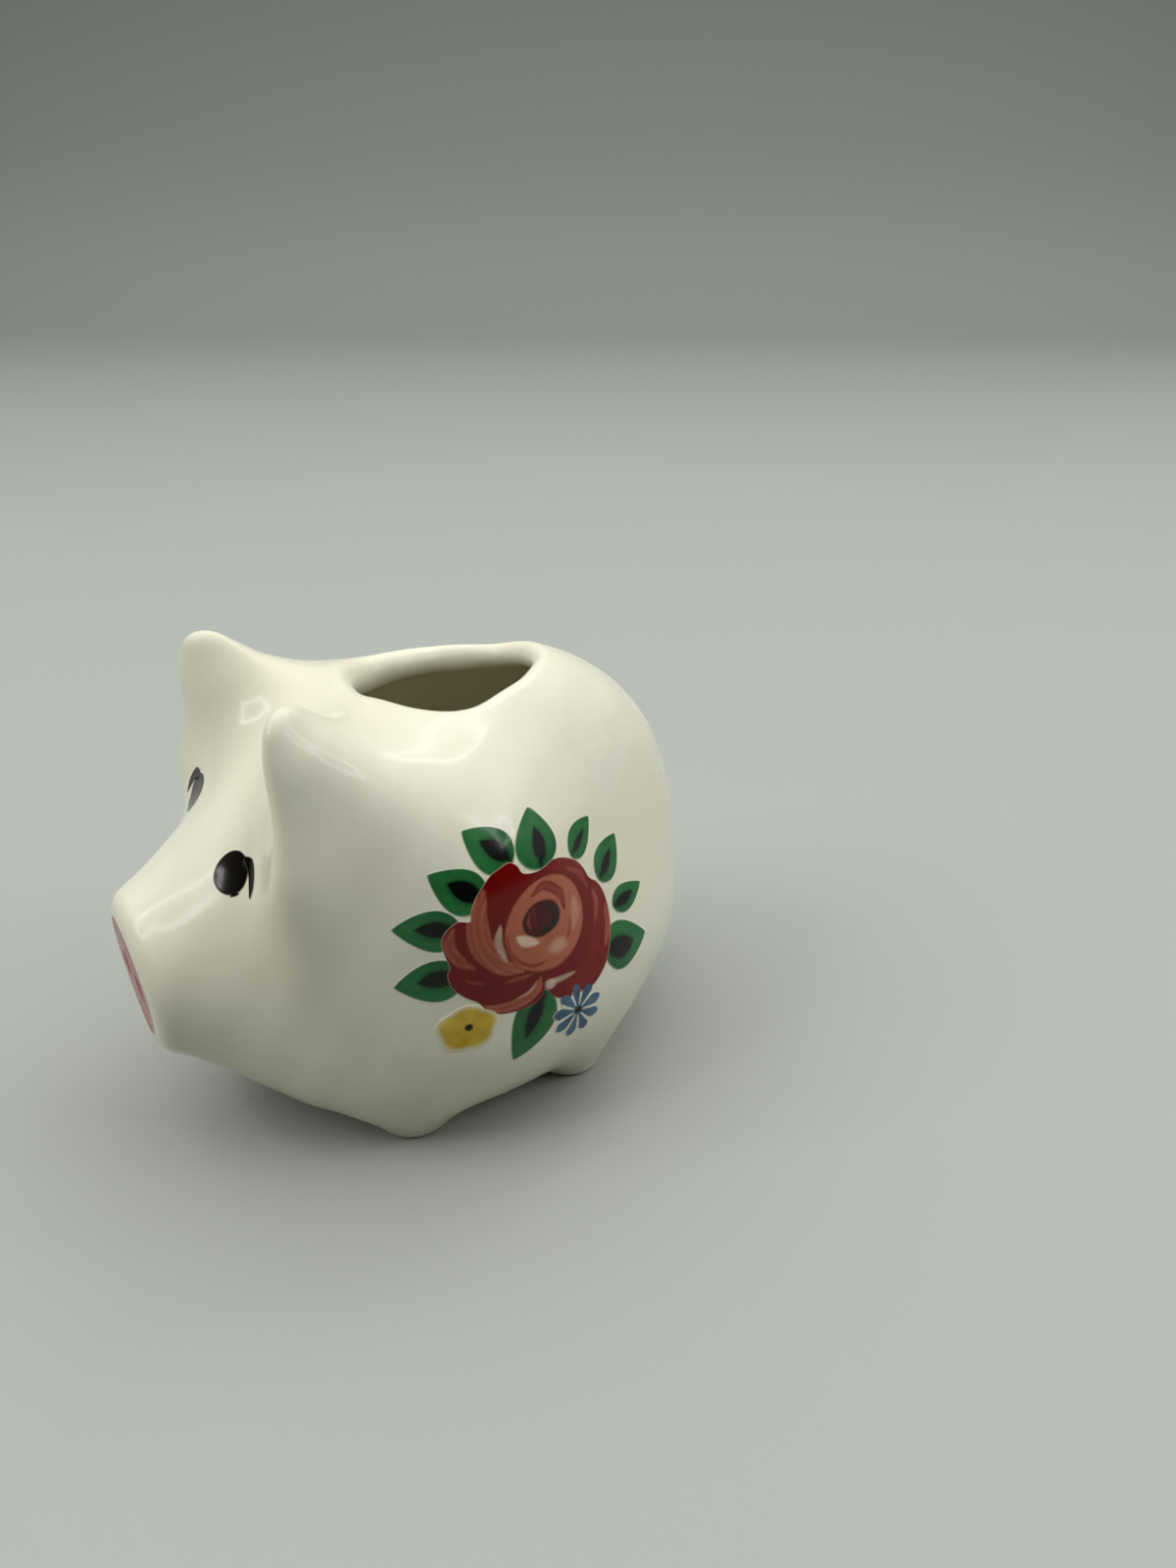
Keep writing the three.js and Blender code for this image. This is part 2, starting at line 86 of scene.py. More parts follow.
# Ears: a flattened cone each, the slope behind it and the hollow scooped in front
EAR_ROOT = millimetres(12, -13.2, 33)
EAR_TIP = millimetres(12, -15.8, 44.5)
EAR_ROOT_RADIUS = 5.8
EAR_TIP_RADIUS = 2.1
EAR_FLATNESS = 0.5
EAR_TURN = -0.9
EAR_BLEND = 10
EAR_SLOPE_TOP = millimetres(12.4, -13.4, 41.4)
EAR_SLOPE_FOOT = millimetres(13.5, -2, 29)
EAR_SLOPE_TOP_RADIUS = 1.6
EAR_SLOPE_FOOT_RADIUS = 7.5
EAR_SLOPE_BLEND = 7
EAR_HOLLOW = millimetres(11, -25, 38)
EAR_HOLLOW_HALF = millimetres(6, 6, 9)
EAR_HOLLOW_BLEND = 2.5
FOREHEAD_ROUNDING = 2

# Feet, nostrils and the softness of the edges that the mould leaves
FRONT_FOOT = (13.7, -7.8)
REAR_FOOT = (14.4, 10.8)
FOOT_RADIUS = 2.3
FOOT_TOP_RADIUS = 3.9
FOOT_TOP_Z = 9.6
FOOT_BLEND = 5.4
SOLE_EDGE = 0.5
NOSTRIL_SPACING = 4.8
NOSTRIL_BALL = 1.3
NOSTRIL_DEPTH = 0.8
NOSTRIL_EDGE = 0.5

# The curled tail laid on the rump, over to the right
TAIL_PLACE = (-2, 25)
TAIL_RADIUS = 1
TAIL_CURL_RADIUS = 2.6
TAIL_TURNS = 1.1
TAIL_BLEND = 0.9
TAIL_STEPS = 28
TAIL_TIGHTENING = 0.45
TAIL_RISE = 2
TAIL_SINKING = 1.4
# Only what lies behind this share of the rump's half length can touch the tail
TAIL_ZONE = 0.6

# The mouth's reach from the middle of the barrel, at even turns from the front towards the left flank
MOUTH_REACH = np.array([8.3, 8.8, 8.9, 8.5, 8.4, 9.9, 12, 12.7, 8.9, 7.6, 8.7, 8.8])
BARREL_MIDDLE = millimetres(0, 3, 20)
HEAD_CROWDING = 0.45
TOP_CROWDING = 1.2
FAR_OUT = 50

# How points are slid onto a form: the steps at most, the share of the gap that a step takes and what is close
# enough, and the step that a slope is measured over
LANDING_STEPS = 120
LANDING_SHARE = 0.7
LANDING_CLOSE = 2e-4
SLOPE_STEP = 0.02

# Rows of the skin over the lip and down the hollow, and the rows under the lip that the hollow's painted
# shade leaves pale
LIP_ROWS = 22
HOLLOW_ROWS = 70
LIP_ROWS_WITHOUT_HOLLOW_SHADE = 4
# How a dip takes the deeper glaze colour, as glaze that pools there and as painted crease shade: how far out
# a dip is felt, how strongly, and at most
POOL_AND_SHADE_REACH = 1.2
POOL_AND_SHADE_DEPTH = 2.5
POOL_AND_SHADE_MOST = 0.8

# The floor: how far it goes before and behind the pig, and the sweep up into the wall, in metres
FLOOR_NEAR = 1.2
FLOOR_FAR = 0.75
FLOOR_REACH = 1.6
FLOOR_GAP = 0.00005
SWEEP = 0.3
SWEEP_STEPS = 24
SWEEP_TURN = 1.0
WALL_TOP = 1.2
FAR_FROM = 0.02
FAR_TO = 0.14

# Which way the long sides of the soft lights run, the lamps' target, and the opening inside each square lamp
LIGHTS_TURNED = -22
LAMP_TARGET = (0, -0.005, 0.035)
LAMP_OPENING = 0.7

# The camera: its directions, its place in millimetres, and its view, from half the picture's height over the
# focal length
CAMERA_YAW = -1.0123
CAMERA_PITCH = 0.4615
CAMERA_ROLL = 0.0013
CAMERA_PLACE = millimetres(102.485, -42.294, 85.18)
CAMERA_ANGLE = 2 * math.atan(800 / 1202)

# Where the paint goes: the eyes by how far out and how high they are, and the middle of the flank's pattern
LEFT_EYE_PLACE = (7.2, 30.3)
RIGHT_EYE_PLACE = (8.2, 31.5)
EYE_RADIUS = 2.1
# The lash beside each eye and the tick under it, by the eye's radius, with their widths along them
LASH = np.array([(0.35, 0.72), (0.9, 0.66), (1.25, 0.22), (1.45, -0.3), (1.53, -0.78)])
LASH_WIDTHS = np.array([0.34, 0.56, 0.48, 0.38, 0.1])
TICK = np.array([(0.3, -0.8), (0.55, -0.78), (0.78, -0.74)])
TICK_WIDTHS = np.array([0.5, 0.3, 0.04])
FLANK = millimetres(0, 1.4, 26)
FLANK_RADIUS = 23
SNOUT_PAINT_RADIUS = 6.25

# Enamel reaches this far under the glaze, its soft edge is so many times as wide as it is high, and its rings
# of points crowd towards the rim
ENAMEL_SUNK = 0.15
ENAMEL_EDGE = 3
RING_CROWDING = 1.15

# Enamel thins out at its rim: how far in it starts to cover the glaze, and over what width
RIM_FADES = {
    "eye": (0.03, 0.1),
    "snout": (0.18, 0.3),
    "rose": (0.04, 0.12),
    "leaf": (0.06, 0.16),
    "yellow": (0.3, 0.75),
    "blue": (0.1, 0.22),
}

# A brush: the points along a stroke, how close the streaks of its bristles stand, and how they wander
BRUSH_POINTS = 26
BRISTLES = 11
BRISTLE_WANDER = 1.7
BRISTLE_WAVES = 5


def blend(a, b, width):
    """Two forms melt together over a width."""
    near = np.maximum(width - np.abs(a - b), 0) / width
    return np.minimum(a, b) - near * near * width / 4


def trim(a, b, width):
    """One form is trimmed by another, with a rounded edge."""
    return -blend(-a, -b, width)


def length(vectors):
    return np.sqrt((vectors * vectors).sum(-1))


def egg(p, middle, half):
    """How far points lie outside an egg form, below zero inside it."""
    q = (p - middle) / half
    reach = length(q)
    return reach * (reach - 1) / np.maximum(length(q / half), 1e-9)


def tapered_rod(p, start, end, start_radius, end_radius):
    """The same for a rod with round ends that tapers."""
    axis = end - start
    length2 = axis @ axis
    fall = start_radius - end_radius
    side2 = length2 - fall * fall
    q = p - start
    along = q @ axis
    past = along - length2
    off2 = ((q * length2 - along[:, None] * axis) ** 2).sum(-1)
    along2 = along * along * length2
    past2 = past * past * length2
    slant = np.sign(fall) * fall * fall * off2
    side = (np.sqrt(off2 * side2 / length2) + along * fall) / length2 - start_radius
    at_start = np.sqrt(off2 + along2) / length2 - start_radius
    at_end = np.sqrt(off2 + past2) / length2 - end_radius
    form = np.where(np.sign(along) * side2 * along2 < slant, at_start, side)
    return np.where(np.sign(past) * side2 * past2 > slant, at_end, form)


def trunk(p, wall):
    """The barrel and head, which the hollow inside follows too."""
    form = blend(egg(p, RUMP, RUMP_HALF), egg(p, CHEST, CHEST_HALF), BARREL_BLEND)
    form = blend(form, egg(p, BELLY, BELLY_HALF), BELLY_BLEND)
    head_end = SNOUT + SNOUT_NORMAL * wall
    form = blend(form, tapered_rod(p, NECK, head_end, NECK_RADIUS, SNOUT_RADIUS), HEAD_BLEND)
    return trim(form, BELLY_CLEARANCE - p[:, 2], BELLY_FLATTENING)


def ear(q):
    axis = (EAR_TIP - EAR_ROOT) / length(EAR_TIP - EAR_ROOT)
    facing = millimetres(math.sin(EAR_TURN), -math.cos(EAR_TURN), 0)
    facing -= axis * (facing @ axis)
    facing /= length(facing)
    flat = q + np.outer((q - EAR_ROOT) @ facing * (1 / EAR_FLATNESS - 1), facing)
    blade = tapered_rod(flat, EAR_ROOT, EAR_TIP, EAR_ROOT_RADIUS, EAR_TIP_RADIUS) * math.sqrt(EAR_FLATNESS)
    slope = tapered_rod(q, EAR_SLOPE_TOP, EAR_SLOPE_FOOT, EAR_SLOPE_TOP_RADIUS, EAR_SLOPE_FOOT_RADIUS)
    return blend(blade, slope, EAR_SLOPE_BLEND)


def foot(q, place):
    top = millimetres(*place, FOOT_TOP_Z)
    return tapered_rod(q, top, millimetres(*place, 0), FOOT_TOP_RADIUS, FOOT_RADIUS)


def unevenness(p):
    """Slow waves of a hand-cast, hand-sponged surface, between -1 and 1."""
    waves = np.sin(0.23 * p[:, 0] + 0.9) * np.sin(0.27 * p[:, 1] + 2.1) * np.sin(0.21 * p[:, 2] + 0.4)
    ripples = np.sin(0.61 * p[:, 0] + 0.47 * p[:, 1]) * np.sin(0.52 * p[:, 2] - 0.38 * p[:, 1] + 1.3)
    return 0.65 * waves + 0.35 * ripples


def distance_to_path(p, path):
    """The distance to a row of joined points, and how far along it the nearest place is, from 0 to 1."""
    best = np.full(len(p), 1e9)
    share = np.zeros(len(p))
    for i in range(len(path) - 1):
        step = path[i + 1] - path[i]
        t = np.clip((p - path[i]) @ step / (step @ step), 0, 1)
        gap = length(p - path[i] - t[:, None] * step)
        share = np.where(gap < best, (i + t) / (len(path) - 1), share)
        best = np.minimum(best, gap)
    return best, share


def slope(form, p):
    sides = []
    for axis in np.eye(3) * SLOPE_STEP:
        sides.append(form(p + axis) - form(p - axis))
    normal = np.stack(sides, -1)
    return normal / np.maximum(length(normal), 1e-9)[:, None]


def land(form, start, inward):
    """Slides points inward until they lie on the form's skin."""
    point = start.copy()
    moving = np.arange(len(point))
    for _ in range(LANDING_STEPS):
        gap = form(point[moving])
        point[moving] += inward[moving] * (gap * LANDING_SHARE)[:, None]
        moving = moving[np.abs(gap) > LANDING_CLOSE]
        if not len(moving):
            break
    return point


class Casting:
    """The skin of the pig: its outside with every soft edge, and the hollow inside."""

    def __init__(self, settings):
        self.wall = settings.wall / MM
        self.roughcast = settings.unevenness / MM
        self.snout_edge = settings.snout_edge / MM
        self.tail_path = None
        self.tail_path = self.curl()

    def outside(self, p):
        q = p.copy()
        q[:, 0] = np.hypot(q[:, 0], FOREHEAD_ROUNDING)
        form = blend(trunk(p, self.wall), ear(q), EAR_BLEND)
        form = trim(form, -egg(q, EAR_HOLLOW, EAR_HOLLOW_HALF), EAR_HOLLOW_BLEND)
        form = blend(form, foot(q, FRONT_FOOT), FOOT_BLEND)
        form = blend(form, foot(q, REAR_FOOT), FOOT_BLEND)
        form = form - self.roughcast * unevenness(p)
        form = trim(form, (p - SNOUT) @ SNOUT_NORMAL, self.snout_edge)
        nostril = SNOUT + SNOUT_NORMAL * (NOSTRIL_BALL - NOSTRIL_DEPTH)
        nostril = nostril + millimetres(NOSTRIL_SPACING / 2, 0, 0)
        mirrored = np.abs(p) * (1, 0, 0) + p * (0, 1, 1)
        form = trim(form, NOSTRIL_BALL - length(mirrored - nostril), NOSTRIL_EDGE)
        if self.tail_path is not None:
            rear = np.flatnonzero(p[:, 1] > RUMP[1] + TAIL_ZONE * RUMP_HALF[1])
            if len(rear):
                tail = distance_to_path(p[rear], self.tail_path)[0] - TAIL_RADIUS
                form[rear] = blend(form[rear], tail, TAIL_BLEND)
        return trim(form, -p[:, 2], SOLE_EDGE)

    def inside(self, p):
        return np.maximum(trunk(p, self.wall), (p - SNOUT) @ SNOUT_NORMAL) + self.wall

    def curl(self):
        """The middle line of the tail, sunk into the rump at both ends."""
        t = np.linspace(0, 1, TAIL_STEPS)
        turn = math.pi / 2 + TAU * TAIL_TURNS * t
        reach = TAIL_CURL_RADIUS * (1 - TAIL_TIGHTENING * t)
        across, up = TAIL_PLACE[0] + reach * np.cos(turn), TAIL_PLACE[1] + reach * np.sin(turn)
        start = np.stack([across, np.full_like(t, FAR_OUT), up], -1)
        seat = land(self.outside, start, np.tile(millimetres(0, -1, 0), (len(t), 1)))
        rise = TAIL_RADIUS * (np.sqrt(np.sin(math.pi * t).clip(0)) * TAIL_RISE - TAIL_SINKING)
        return seat + slope(self.outside, seat) * rise[:, None]


def way_out(turn, tip):
    """A way out from the middle of the barrel, by its turn from the front and its tip down from upright."""
    return np.stack([np.sin(tip) * np.sin(turn), -np.sin(tip) * np.cos(turn), np.cos(tip)], -1)


def land_from_middle(form, way):
    return land(form, BARREL_MIDDLE + way * FAR_OUT, -way)


def smooth_between(a, b, c, d, t):
    """The curve that runs smoothly through four values in a row, between the middle two."""
    return 0.5 * (2 * b + (c - a) * t + (2 * a - 5 * b + 4 * c - d) * t**2 + (3 * b - a - 3 * c + d) * t**3)


def mouth_reach(turn):
    """The mouth's reach at any turn, on a smooth closed curve."""
    count = len(MOUTH_REACH)
    place = turn / TAU % 1 * count
    first = np.floor(place).astype(int)
    t = place - first
    a, b, c, d = (MOUTH_REACH[(first + step) % count] for step in (-1, 0, 1, 2))
    return smooth_between(a, b, c, d, t)


def lay_skin(casting, columns, outside_rows):
    """Points of the skin in columns round the barrel, from under the belly over the lip to the floor."""
    even = TAU * np.arange(columns) / columns
    turn = even - HEAD_CROWDING * np.sin(even)
    flat_way = way_out(turn, np.full(columns, math.pi / 2))
    reach = mouth_reach(turn) + casting.wall / 2
    above = BARREL_MIDDLE + flat_way * reach[:, None]
    above[:, 2] = FAR_OUT
    lip = land(casting.outside, above, np.tile(millimetres(0, 0, -1), (columns, 1)))
    lip_inside = lip - slope(casting.outside, lip) * casting.wall

    def tip_of(point):
        out = point - BARREL_MIDDLE
        return np.arccos(out[:, 2] / length(out))

    def row_at(form, tip):
        return land_from_middle(form, way_out(turn, tip))

    lip_tip = tip_of(lip)
    inner_tip = tip_of(lip_inside)
    share = (np.arange(outside_rows - 1, 0, -1) / outside_rows) ** TOP_CROWDING
    outer = [row_at(casting.outside, lip_tip + (math.pi - lip_tip) * s) for s in share]
    inner_lip = row_at(casting.inside, inner_tip)
    middle = (lip + inner_lip) / 2
    half = lip - middle
    inward = -flat_way
    inward = inward - half * ((inward * half).sum(-1) / (half * half).sum(-1))[:, None]
    inward *= (length(half) / length(inward))[:, None]
    rounds = math.pi * np.arange(LIP_ROWS + 2) / (LIP_ROWS + 1)
    over = [middle + half * math.cos(r) + inward * math.sin(r) for r in rounds]
    inner = [
        row_at(casting.inside, inner_tip + (math.pi - inner_tip) * row / HOLLOW_ROWS)
        for row in range(1, HOLLOW_ROWS)
    ]
    return np.stack(outer + over + inner, 1), len(outer), len(outer) + len(over)


def make_object(name, points, faces, stands_for, material):
    """A smooth mesh in the frame, on the one body, that stands for its CAD nodes."""
    mesh = bpy.data.meshes.new(name)
    mesh.from_pydata(((points + FRAME_SHIFT) * MM).tolist(), [], faces)
    mesh.shade_smooth()
    mesh.validate()
    piece = bpy.data.objects.new(name, mesh)
    bpy.context.scene.collection.objects.link(piece)
    mesh.materials.append(material)
    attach(piece, "root")
    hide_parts(*stands_for)
    return piece


def add_point_values(piece, name, values):
    attribute = piece.data.attributes.new(name, "FLOAT", "POINT")
    attribute.data.foreach_set("value", np.asarray(values, np.float32))


def add_point_colours(piece, name, colours):
    attribute = piece.data.color_attributes.new(name, "FLOAT_COLOR", "POINT")
    attribute.data.foreach_set("color", np.asarray(colours, np.float32).ravel())


def flank_seat(side):
    """Places a pattern on a flank: to the right and up as the flank is looked at, lengths kept true."""

    def start_and_way(places):
        far = length(places)
        turn = far / FLANK_RADIUS
        along = np.sin(turn) / np.maximum(far, 1e-9)
        outward = np.stack([side * np.cos(turn), side * places[:, 0] * along, places[:, 1] * along], -1)
        return FLANK + outward * 2 * FLANK_RADIUS, -outward

    return start_and_way


def rose_seat(side):
    """Places the rose as it is drawn: a little wider, lower and turned."""
    seat = flank_seat(side)
    return lambda places: seat(places @ ROSE_TURN.T + ROSE_PLACE)


def eye_seat(casting, side, place):
    """Places a pattern square on the brow, its first direction always away from the snout."""
    start = millimetres(side * place[0], SNOUT[1], place[1])[None]
    middle = land(casting.outside, start, millimetres(0, 1, 0)[None])
    normal = slope(casting.outside, middle)[0]
    across = np.cross([0, 0, 1], normal)
    across /= length(across)
    up = np.cross(normal, across)

    def start_and_way(places):
        spot = middle + np.outer(places[:, 0] * side, across) + np.outer(places[:, 1], up)
        return spot + normal * EYE_RADIUS, np.tile(-normal, (len(places), 1))

    return start_and_way


def snout_seat(places):
    across = millimetres(1, 0, 0)
    up = np.cross(SNOUT_NORMAL, across)
    spot = SNOUT + np.outer(places[:, 0], across) + np.outer(places[:, 1], up)
    return spot + SNOUT_NORMAL * 3, np.tile(-SNOUT_NORMAL, (len(places), 1))


def smooth_loop(corners, count):
    """A closed smooth curve through given corners."""
    corners = np.asarray(corners, float)
    place = np.arange(count) / count * len(corners)
    first = np.floor(place).astype(int)
    t = (place - first)[:, None]
    a, b, c, d = (corners[(first + step) % len(corners)] for step in (-1, 0, 1, 2))
    return smooth_between(a, b, c, d, t)


def smooth_path(corners, count):
    """An open smooth curve through given corners."""
    corners = np.asarray(corners, float)
    ends = np.vstack([2 * corners[0] - corners[1], corners, 2 * corners[-1] - corners[-2]])
    place = np.linspace(0, len(corners) - 1, count)
    first = np.minimum(np.floor(place).astype(int), len(corners) - 2)
    t = (place - first)[:, None]
    a, b, c, d = (ends[first + step] for step in (0, 1, 2, 3))
    return smooth_between(a, b, c, d, t)


def ring_places(outline, rings):
    """Places of an island in rings about its middle, closer together at the rim."""
    middle = outline.mean(0)
    share = 1 - (1 - np.arange(1, rings + 1) / rings) ** RING_CROWDING
    around = middle + (outline - middle) * share[:, None, None]
    places = np.vstack([middle[None], around.reshape(-1, 2)])
    return places, np.concatenate([[0], np.repeat(share, len(outline))])


def ring_faces(count, rings, offset, turned):
    faces = []
    for i in range(count):
        j = (i + 1) % count
        face = (offset, offset + 1 + i, offset + 1 + j)
        faces.append(face[::-1] if turned else face)
        for ring in range(rings - 1):
            a, b = offset + 1 + ring * count, offset + 1 + (ring + 1) * count
            face = (a + i, b + i, b + j, a + j)
            faces.append(face[::-1] if turned else face)
    return faces


class Enamel:
    """Lays thin islands of enamel on the casting's glaze, each a closed form with a soft edge."""

    def __init__(self, casting, settings):
        self.casting = casting
        self.rise = settings.rise / MM
        self.points = []
        self.faces = []
        self.places = []
        self.rims = []
        self.count = 0

    def island(self, outline, rings, seat, mirrored):
        """One island by its outline, wound to the left as its seat's directions run."""
        places, share = ring_places(outline, rings)
        start, inward = seat(places)
        skin = land(self.casting.outside, start, inward)
        normal = slope(self.casting.outside, skin)
        size = length(outline - outline.mean(0)).mean()
        rim = np.clip((1 - share) * size / (ENAMEL_EDGE * self.rise), 0, 1)
        height = self.rise * np.sqrt(1 - (1 - rim) ** 2)
        n = len(outline)
        top = skin + normal * height[:, None]
        under = skin - normal * ENAMEL_SUNK
        offset = self.count
        below = offset + len(places)
        self.faces += ring_faces(n, rings, offset, mirrored)
        self.faces += ring_faces(n, rings, below, not mirrored)
        last_ring = 1 + (rings - 1) * n
        above_rim, below_rim = offset + last_ring, below + last_ring
        for i in range(n):
            j = (i + 1) % n
            face = (above_rim + i, below_rim + i, below_rim + j, above_rim + j)
            self.faces.append(face[::-1] if mirrored else face)
        self.points += [top, under]
        self.places += [places, places]
        self.rims += [(1 - share) * size, (1 - share) * size]
        self.count += 2 * len(places)

    def finish(self, name, slot_name, stands_for, material, paint):
        places = np.vstack(self.places)
        piece = make_object(name, np.vstack(self.points), self.faces, stands_for, material)
        add_point_colours(piece, "paint", paint(places, np.concatenate(self.rims)))
        return piece


def stroke_outline(path, widths, count):
    """The outline of one brush stroke, by its middle line and its width along it."""
    line = smooth_path(path, count)
    width = np.interp(np.linspace(0, 1, count), np.linspace(0, 1, len(widths)), widths)
    along = np.gradient(line, axis=0)
    along /= length(along)[:, None]
    side = np.stack([along[:, 1], -along[:, 0]], -1) * width[:, None] / 2
    return np.vstack([line + side, (line - side)[::-1]])


def rounded_step(x, width):
    t = np.clip(x / width + 0.5, 0, 1)
    return t * t * (3 - 2 * t)


def rim_cover(rim, enamel):
    start, width = RIM_FADES[enamel]
    return rounded_step(rim - start, width)


def lay_over(paint, colour, cover):
    """Brushes a colour over the paint so far."""
    return paint + (np.asarray(colour) - paint) * cover[:, None]


def brush(places, path, width, streaks=0.0, softness=0.16, seed=0.0):
    """How much one tapered brush stroke covers each place, with the streaks that its bristles leave."""
    line = smooth_path(path, BRUSH_POINTS)
    gap, along = distance_to_path(places, line)
    pressure = np.sqrt(np.sin(math.pi * np.clip(along, 0.02, 0.98)))
    cover = rounded_step(width / 2 * pressure - gap, softness)
    if streaks:
        across = gap * BRISTLES + seed + BRISTLE_WANDER * np.sin(BRISTLE_WAVES * along + seed)
        cover = cover * (1 - streaks * (0.5 + 0.5 * np.sin(across)))
    return cover


def dab(places, middle, half, softness=0.2):
    """How much a round dab of the brush covers each place."""
    reach = length((places - middle) / half)
    return rounded_step((1 - reach) * min(half), softness)


def with_cover(colour, cover):
    return np.column_stack([colour, cover])


# How the rose lies on the flank, and its rim as it is drawn
ROSE_TURN = np.array([[1.133, 0.134], [-0.194, 0.958]])
ROSE_PLACE = np.array([-0.66, -1.54])
ROSE_RIM = [
    (-2.7, 7.5), (-1.8, 7.95), (-1.05, 7.55), (-0.5, 6.75), (0.9, 6.65), (2.0, 7.0), (3.1, 7.4), (4.6, 7.2),
    (6.3, 6.4), (7.3, 5.3), (8.0, 4.0), (9.1, 3.1), (9.8, 1.7), (10.0, -0.1), (9.8, -1.7), (9.3, -3.1),
    (8.8, -4.3), (7.9, -5.5), (6.8, -6.4), (5.5, -6.8), (4.1, -6.8), (2.9, -6.3), (2.1, -5.4), (1.6, -6.2),
    (0.7, -6.7), (-0.6, -7.0), (-1.9, -7.0), (-3.0, -6.5), (-3.7, -5.7), (-5.0, -5.0), (-6.0, -4.0),
    (-6.4, -2.8), (-6.3, -2.0), (-6.8, -0.7), (-7.15, 0.6), (-6.8, 1.8), (-6.0, 2.65), (-5.1, 2.7),
    (-5.05, 3.6), (-4.7, 4.9), (-4.1, 6.0), (-3.5, 6.9),
]

# The rose's painting, in the order that it is brushed. A stroke has its middle line, its width, how far the
# bristles part, how soft its sides are and how well it covers. A dab has its middle, its half lengths, its
# softness and how well it covers.
Stroke = namedtuple("Stroke", "paint path width streaks softness cover")
Dab = namedtuple("Dab", "paint middle half softness cover")
ROSE_PAINTING = [
    Stroke("red", [(4.3, -6), (7.5, -4), (9, 0), (8.6, 3)], 2.6, 0.5, 0.5, 0.6),
    Stroke("red", [(3, 6.6), (5.2, 6.4), (7, 4.6)], 1.6, 0.5, 0.4, 0.7),
    Stroke("pink", [(9.6, 0.6), (9.5, -1.4), (8.7, -3.2)], 0.7, 0.4, 0.3, 0.75),
    Stroke("pink", [(8.1, 2.6), (8.4, 1.2), (7.9, -0.6)], 0.6, 0.4, 0.3, 0.6),
    Stroke("pink", [(4.7, 6), (6.4, 5), (7.5, 3.1)], 0.6, 0.5, 0.35, 0.45),
    Stroke("pink", [(-4.1, 5.4), (-4.5, 2.8), (-3.9, 0), (-2.2, -2.1), (-0.3, -3)], 1.9, 0.35, 0.25, 0.9),
    Dab("pink", (2.1, 1.2), (4.25, 4.75), 0.2125, 1),
    Stroke("deep", [(-1.2, 6.1), (-2.2, 4), (-2.9, 1.4)], 1.1, 0.3, 0.2, 0.9),
    Stroke("pale", [(-2.6, 2), (-2.65, 0.3), (-1.8, -1.7)], 0.6, 0.3, 0.25, 0.8),
    Stroke("red", [(-2, 0.9), (-1.5, -1), (-0.2, -2.3), (1, -2.8), (2.2, -2.6)], 0.4, 0.2, 0.18, 0.85),
    Stroke("red", [(4.7, 1), (4.6, -0.2), (3.9, -1.6)], 0.4, 0.3, 0.2, 0.6),
    Stroke("pale", [(5.2, 2.9), (5.4, 1.2), (4.9, -0.3)], 0.9, 0.4, 0.6, 0.4),
    Dab("pale", (3.2, -1.4), (0.9, 0.7), 0.8, 0.45),
    Stroke("deep", [(0.2, 4.4), (1.6, 5.1), (3.4, 3.9), (4, 2)], 1, 0.25, 0.2, 0.85),
    Stroke("pink", [(0.2, 3.9), (1.3, 4.3), (2.3, 3.9)], 0.25, 0.3, 0.2, 0.5),
    Dab("heart", (1.35, 1.9), (2, 1.85), 0.25, 1),
    Stroke("red", [(0.5, 3.2), (0.2, 2), (0.7, 1.1)], 0.8, 0.6, 0.35, 0.55),
    Stroke("pink", [(0, 2.8), (-0.1, 1.9), (0.2, 1.1)], 0.22, 0.2, 0.2, 0.5),
    Stroke("night", [(1.9, 3.2), (2.9, 2.2), (2.7, 0.9), (1, 0.4)], 0.9, 0.2, 0.3, 0.9),
    Stroke("light", [(-1, 0.6), (-0.2, 0), (1, -0.5)], 1, 0.15, 0.4, 0.95),
    Stroke("pink", [(-6.3, 1.9), (-6.5, 0.2), (-5.5, -1.4), (-4.4, -2.1)], 1, 0.4, 0.3, 0.7),
    Stroke("pink", [(-1.7, -3.9), (-0.6, -3.7), (0.7, -3.6)], 0.4, 0.4, 0.25, 0.6),
    Stroke("pink", [(-5, -3.3), (-4.2, -3.6), (-3.4, -3.8)], 0.35, 0.4, 0.25, 0.4),
    Stroke("pink", [(-3.3, -6.1), (-1.9, -6.4), (-0.1, -6.1), (1.2, -5.2), (1.5, -4.2)], 1, 0.35, 0.25, 0.9),
    Stroke("pale", [(-0.5, -5.7), (0.5, -5.3), (1.2, -4.4)], 0.25, 0.2, 0.2, 0.6),
    Stroke("pale", [(2.1, -4.7), (3, -4.8), (4.9, -4.6)], 0.55, 0.3, 0.3, 0.75),
    Dab("pale", (2.5, -5), (0.5, 0.45), 0.3, 0.8),
]
HEART_SHADE = 0.35
LIGHT_LIFT = 1.2

# Each leaf: where it leaves the rose, its length and width, its turn in degrees, and its dark heart's width
LEAVES = [
    ((-1.1, 6.2), 5.9, 4.4, 138, 0.38),
    ((1.9, 4.5), 6.3, 5.7, 84, 0.3),
    ((6.5, 4.1), 6, 3.7, 25, 0.26),
    ((10.3, -0.4), 6.1, 4.2, 34, 0.28),
    ((11.2, -3.7), 5.3, 2.7, 3, 0.4),
    ((8.3, -6.7), 6.5, 4.5, -11, 0.44),
    ((-4.4, 3.4), 5.9, 4.3, 145, 0.42),
    ((-6.7, 1.2), 6.2, 4.1, 174, 0.38),
    ((-6.6, -3.2), 6.3, 4.3, -174, 0.4),
    ((1.1, -7), 6.8, 4.4, -120, 0.3),
]
# Leaves are brushed thinner than the rose, which lies over their feet
LEAF_THINNING = 0.5
# A leaf's shape: how far its widest place lies towards its foot, how full it is, and where its heart lies
LEAF_WIDEST = 0.7
LEAF_FULLNESS = 0.8
LEAF_HEART_MIDDLE = 0.36
LEAF_HEART_HALF = 0.31

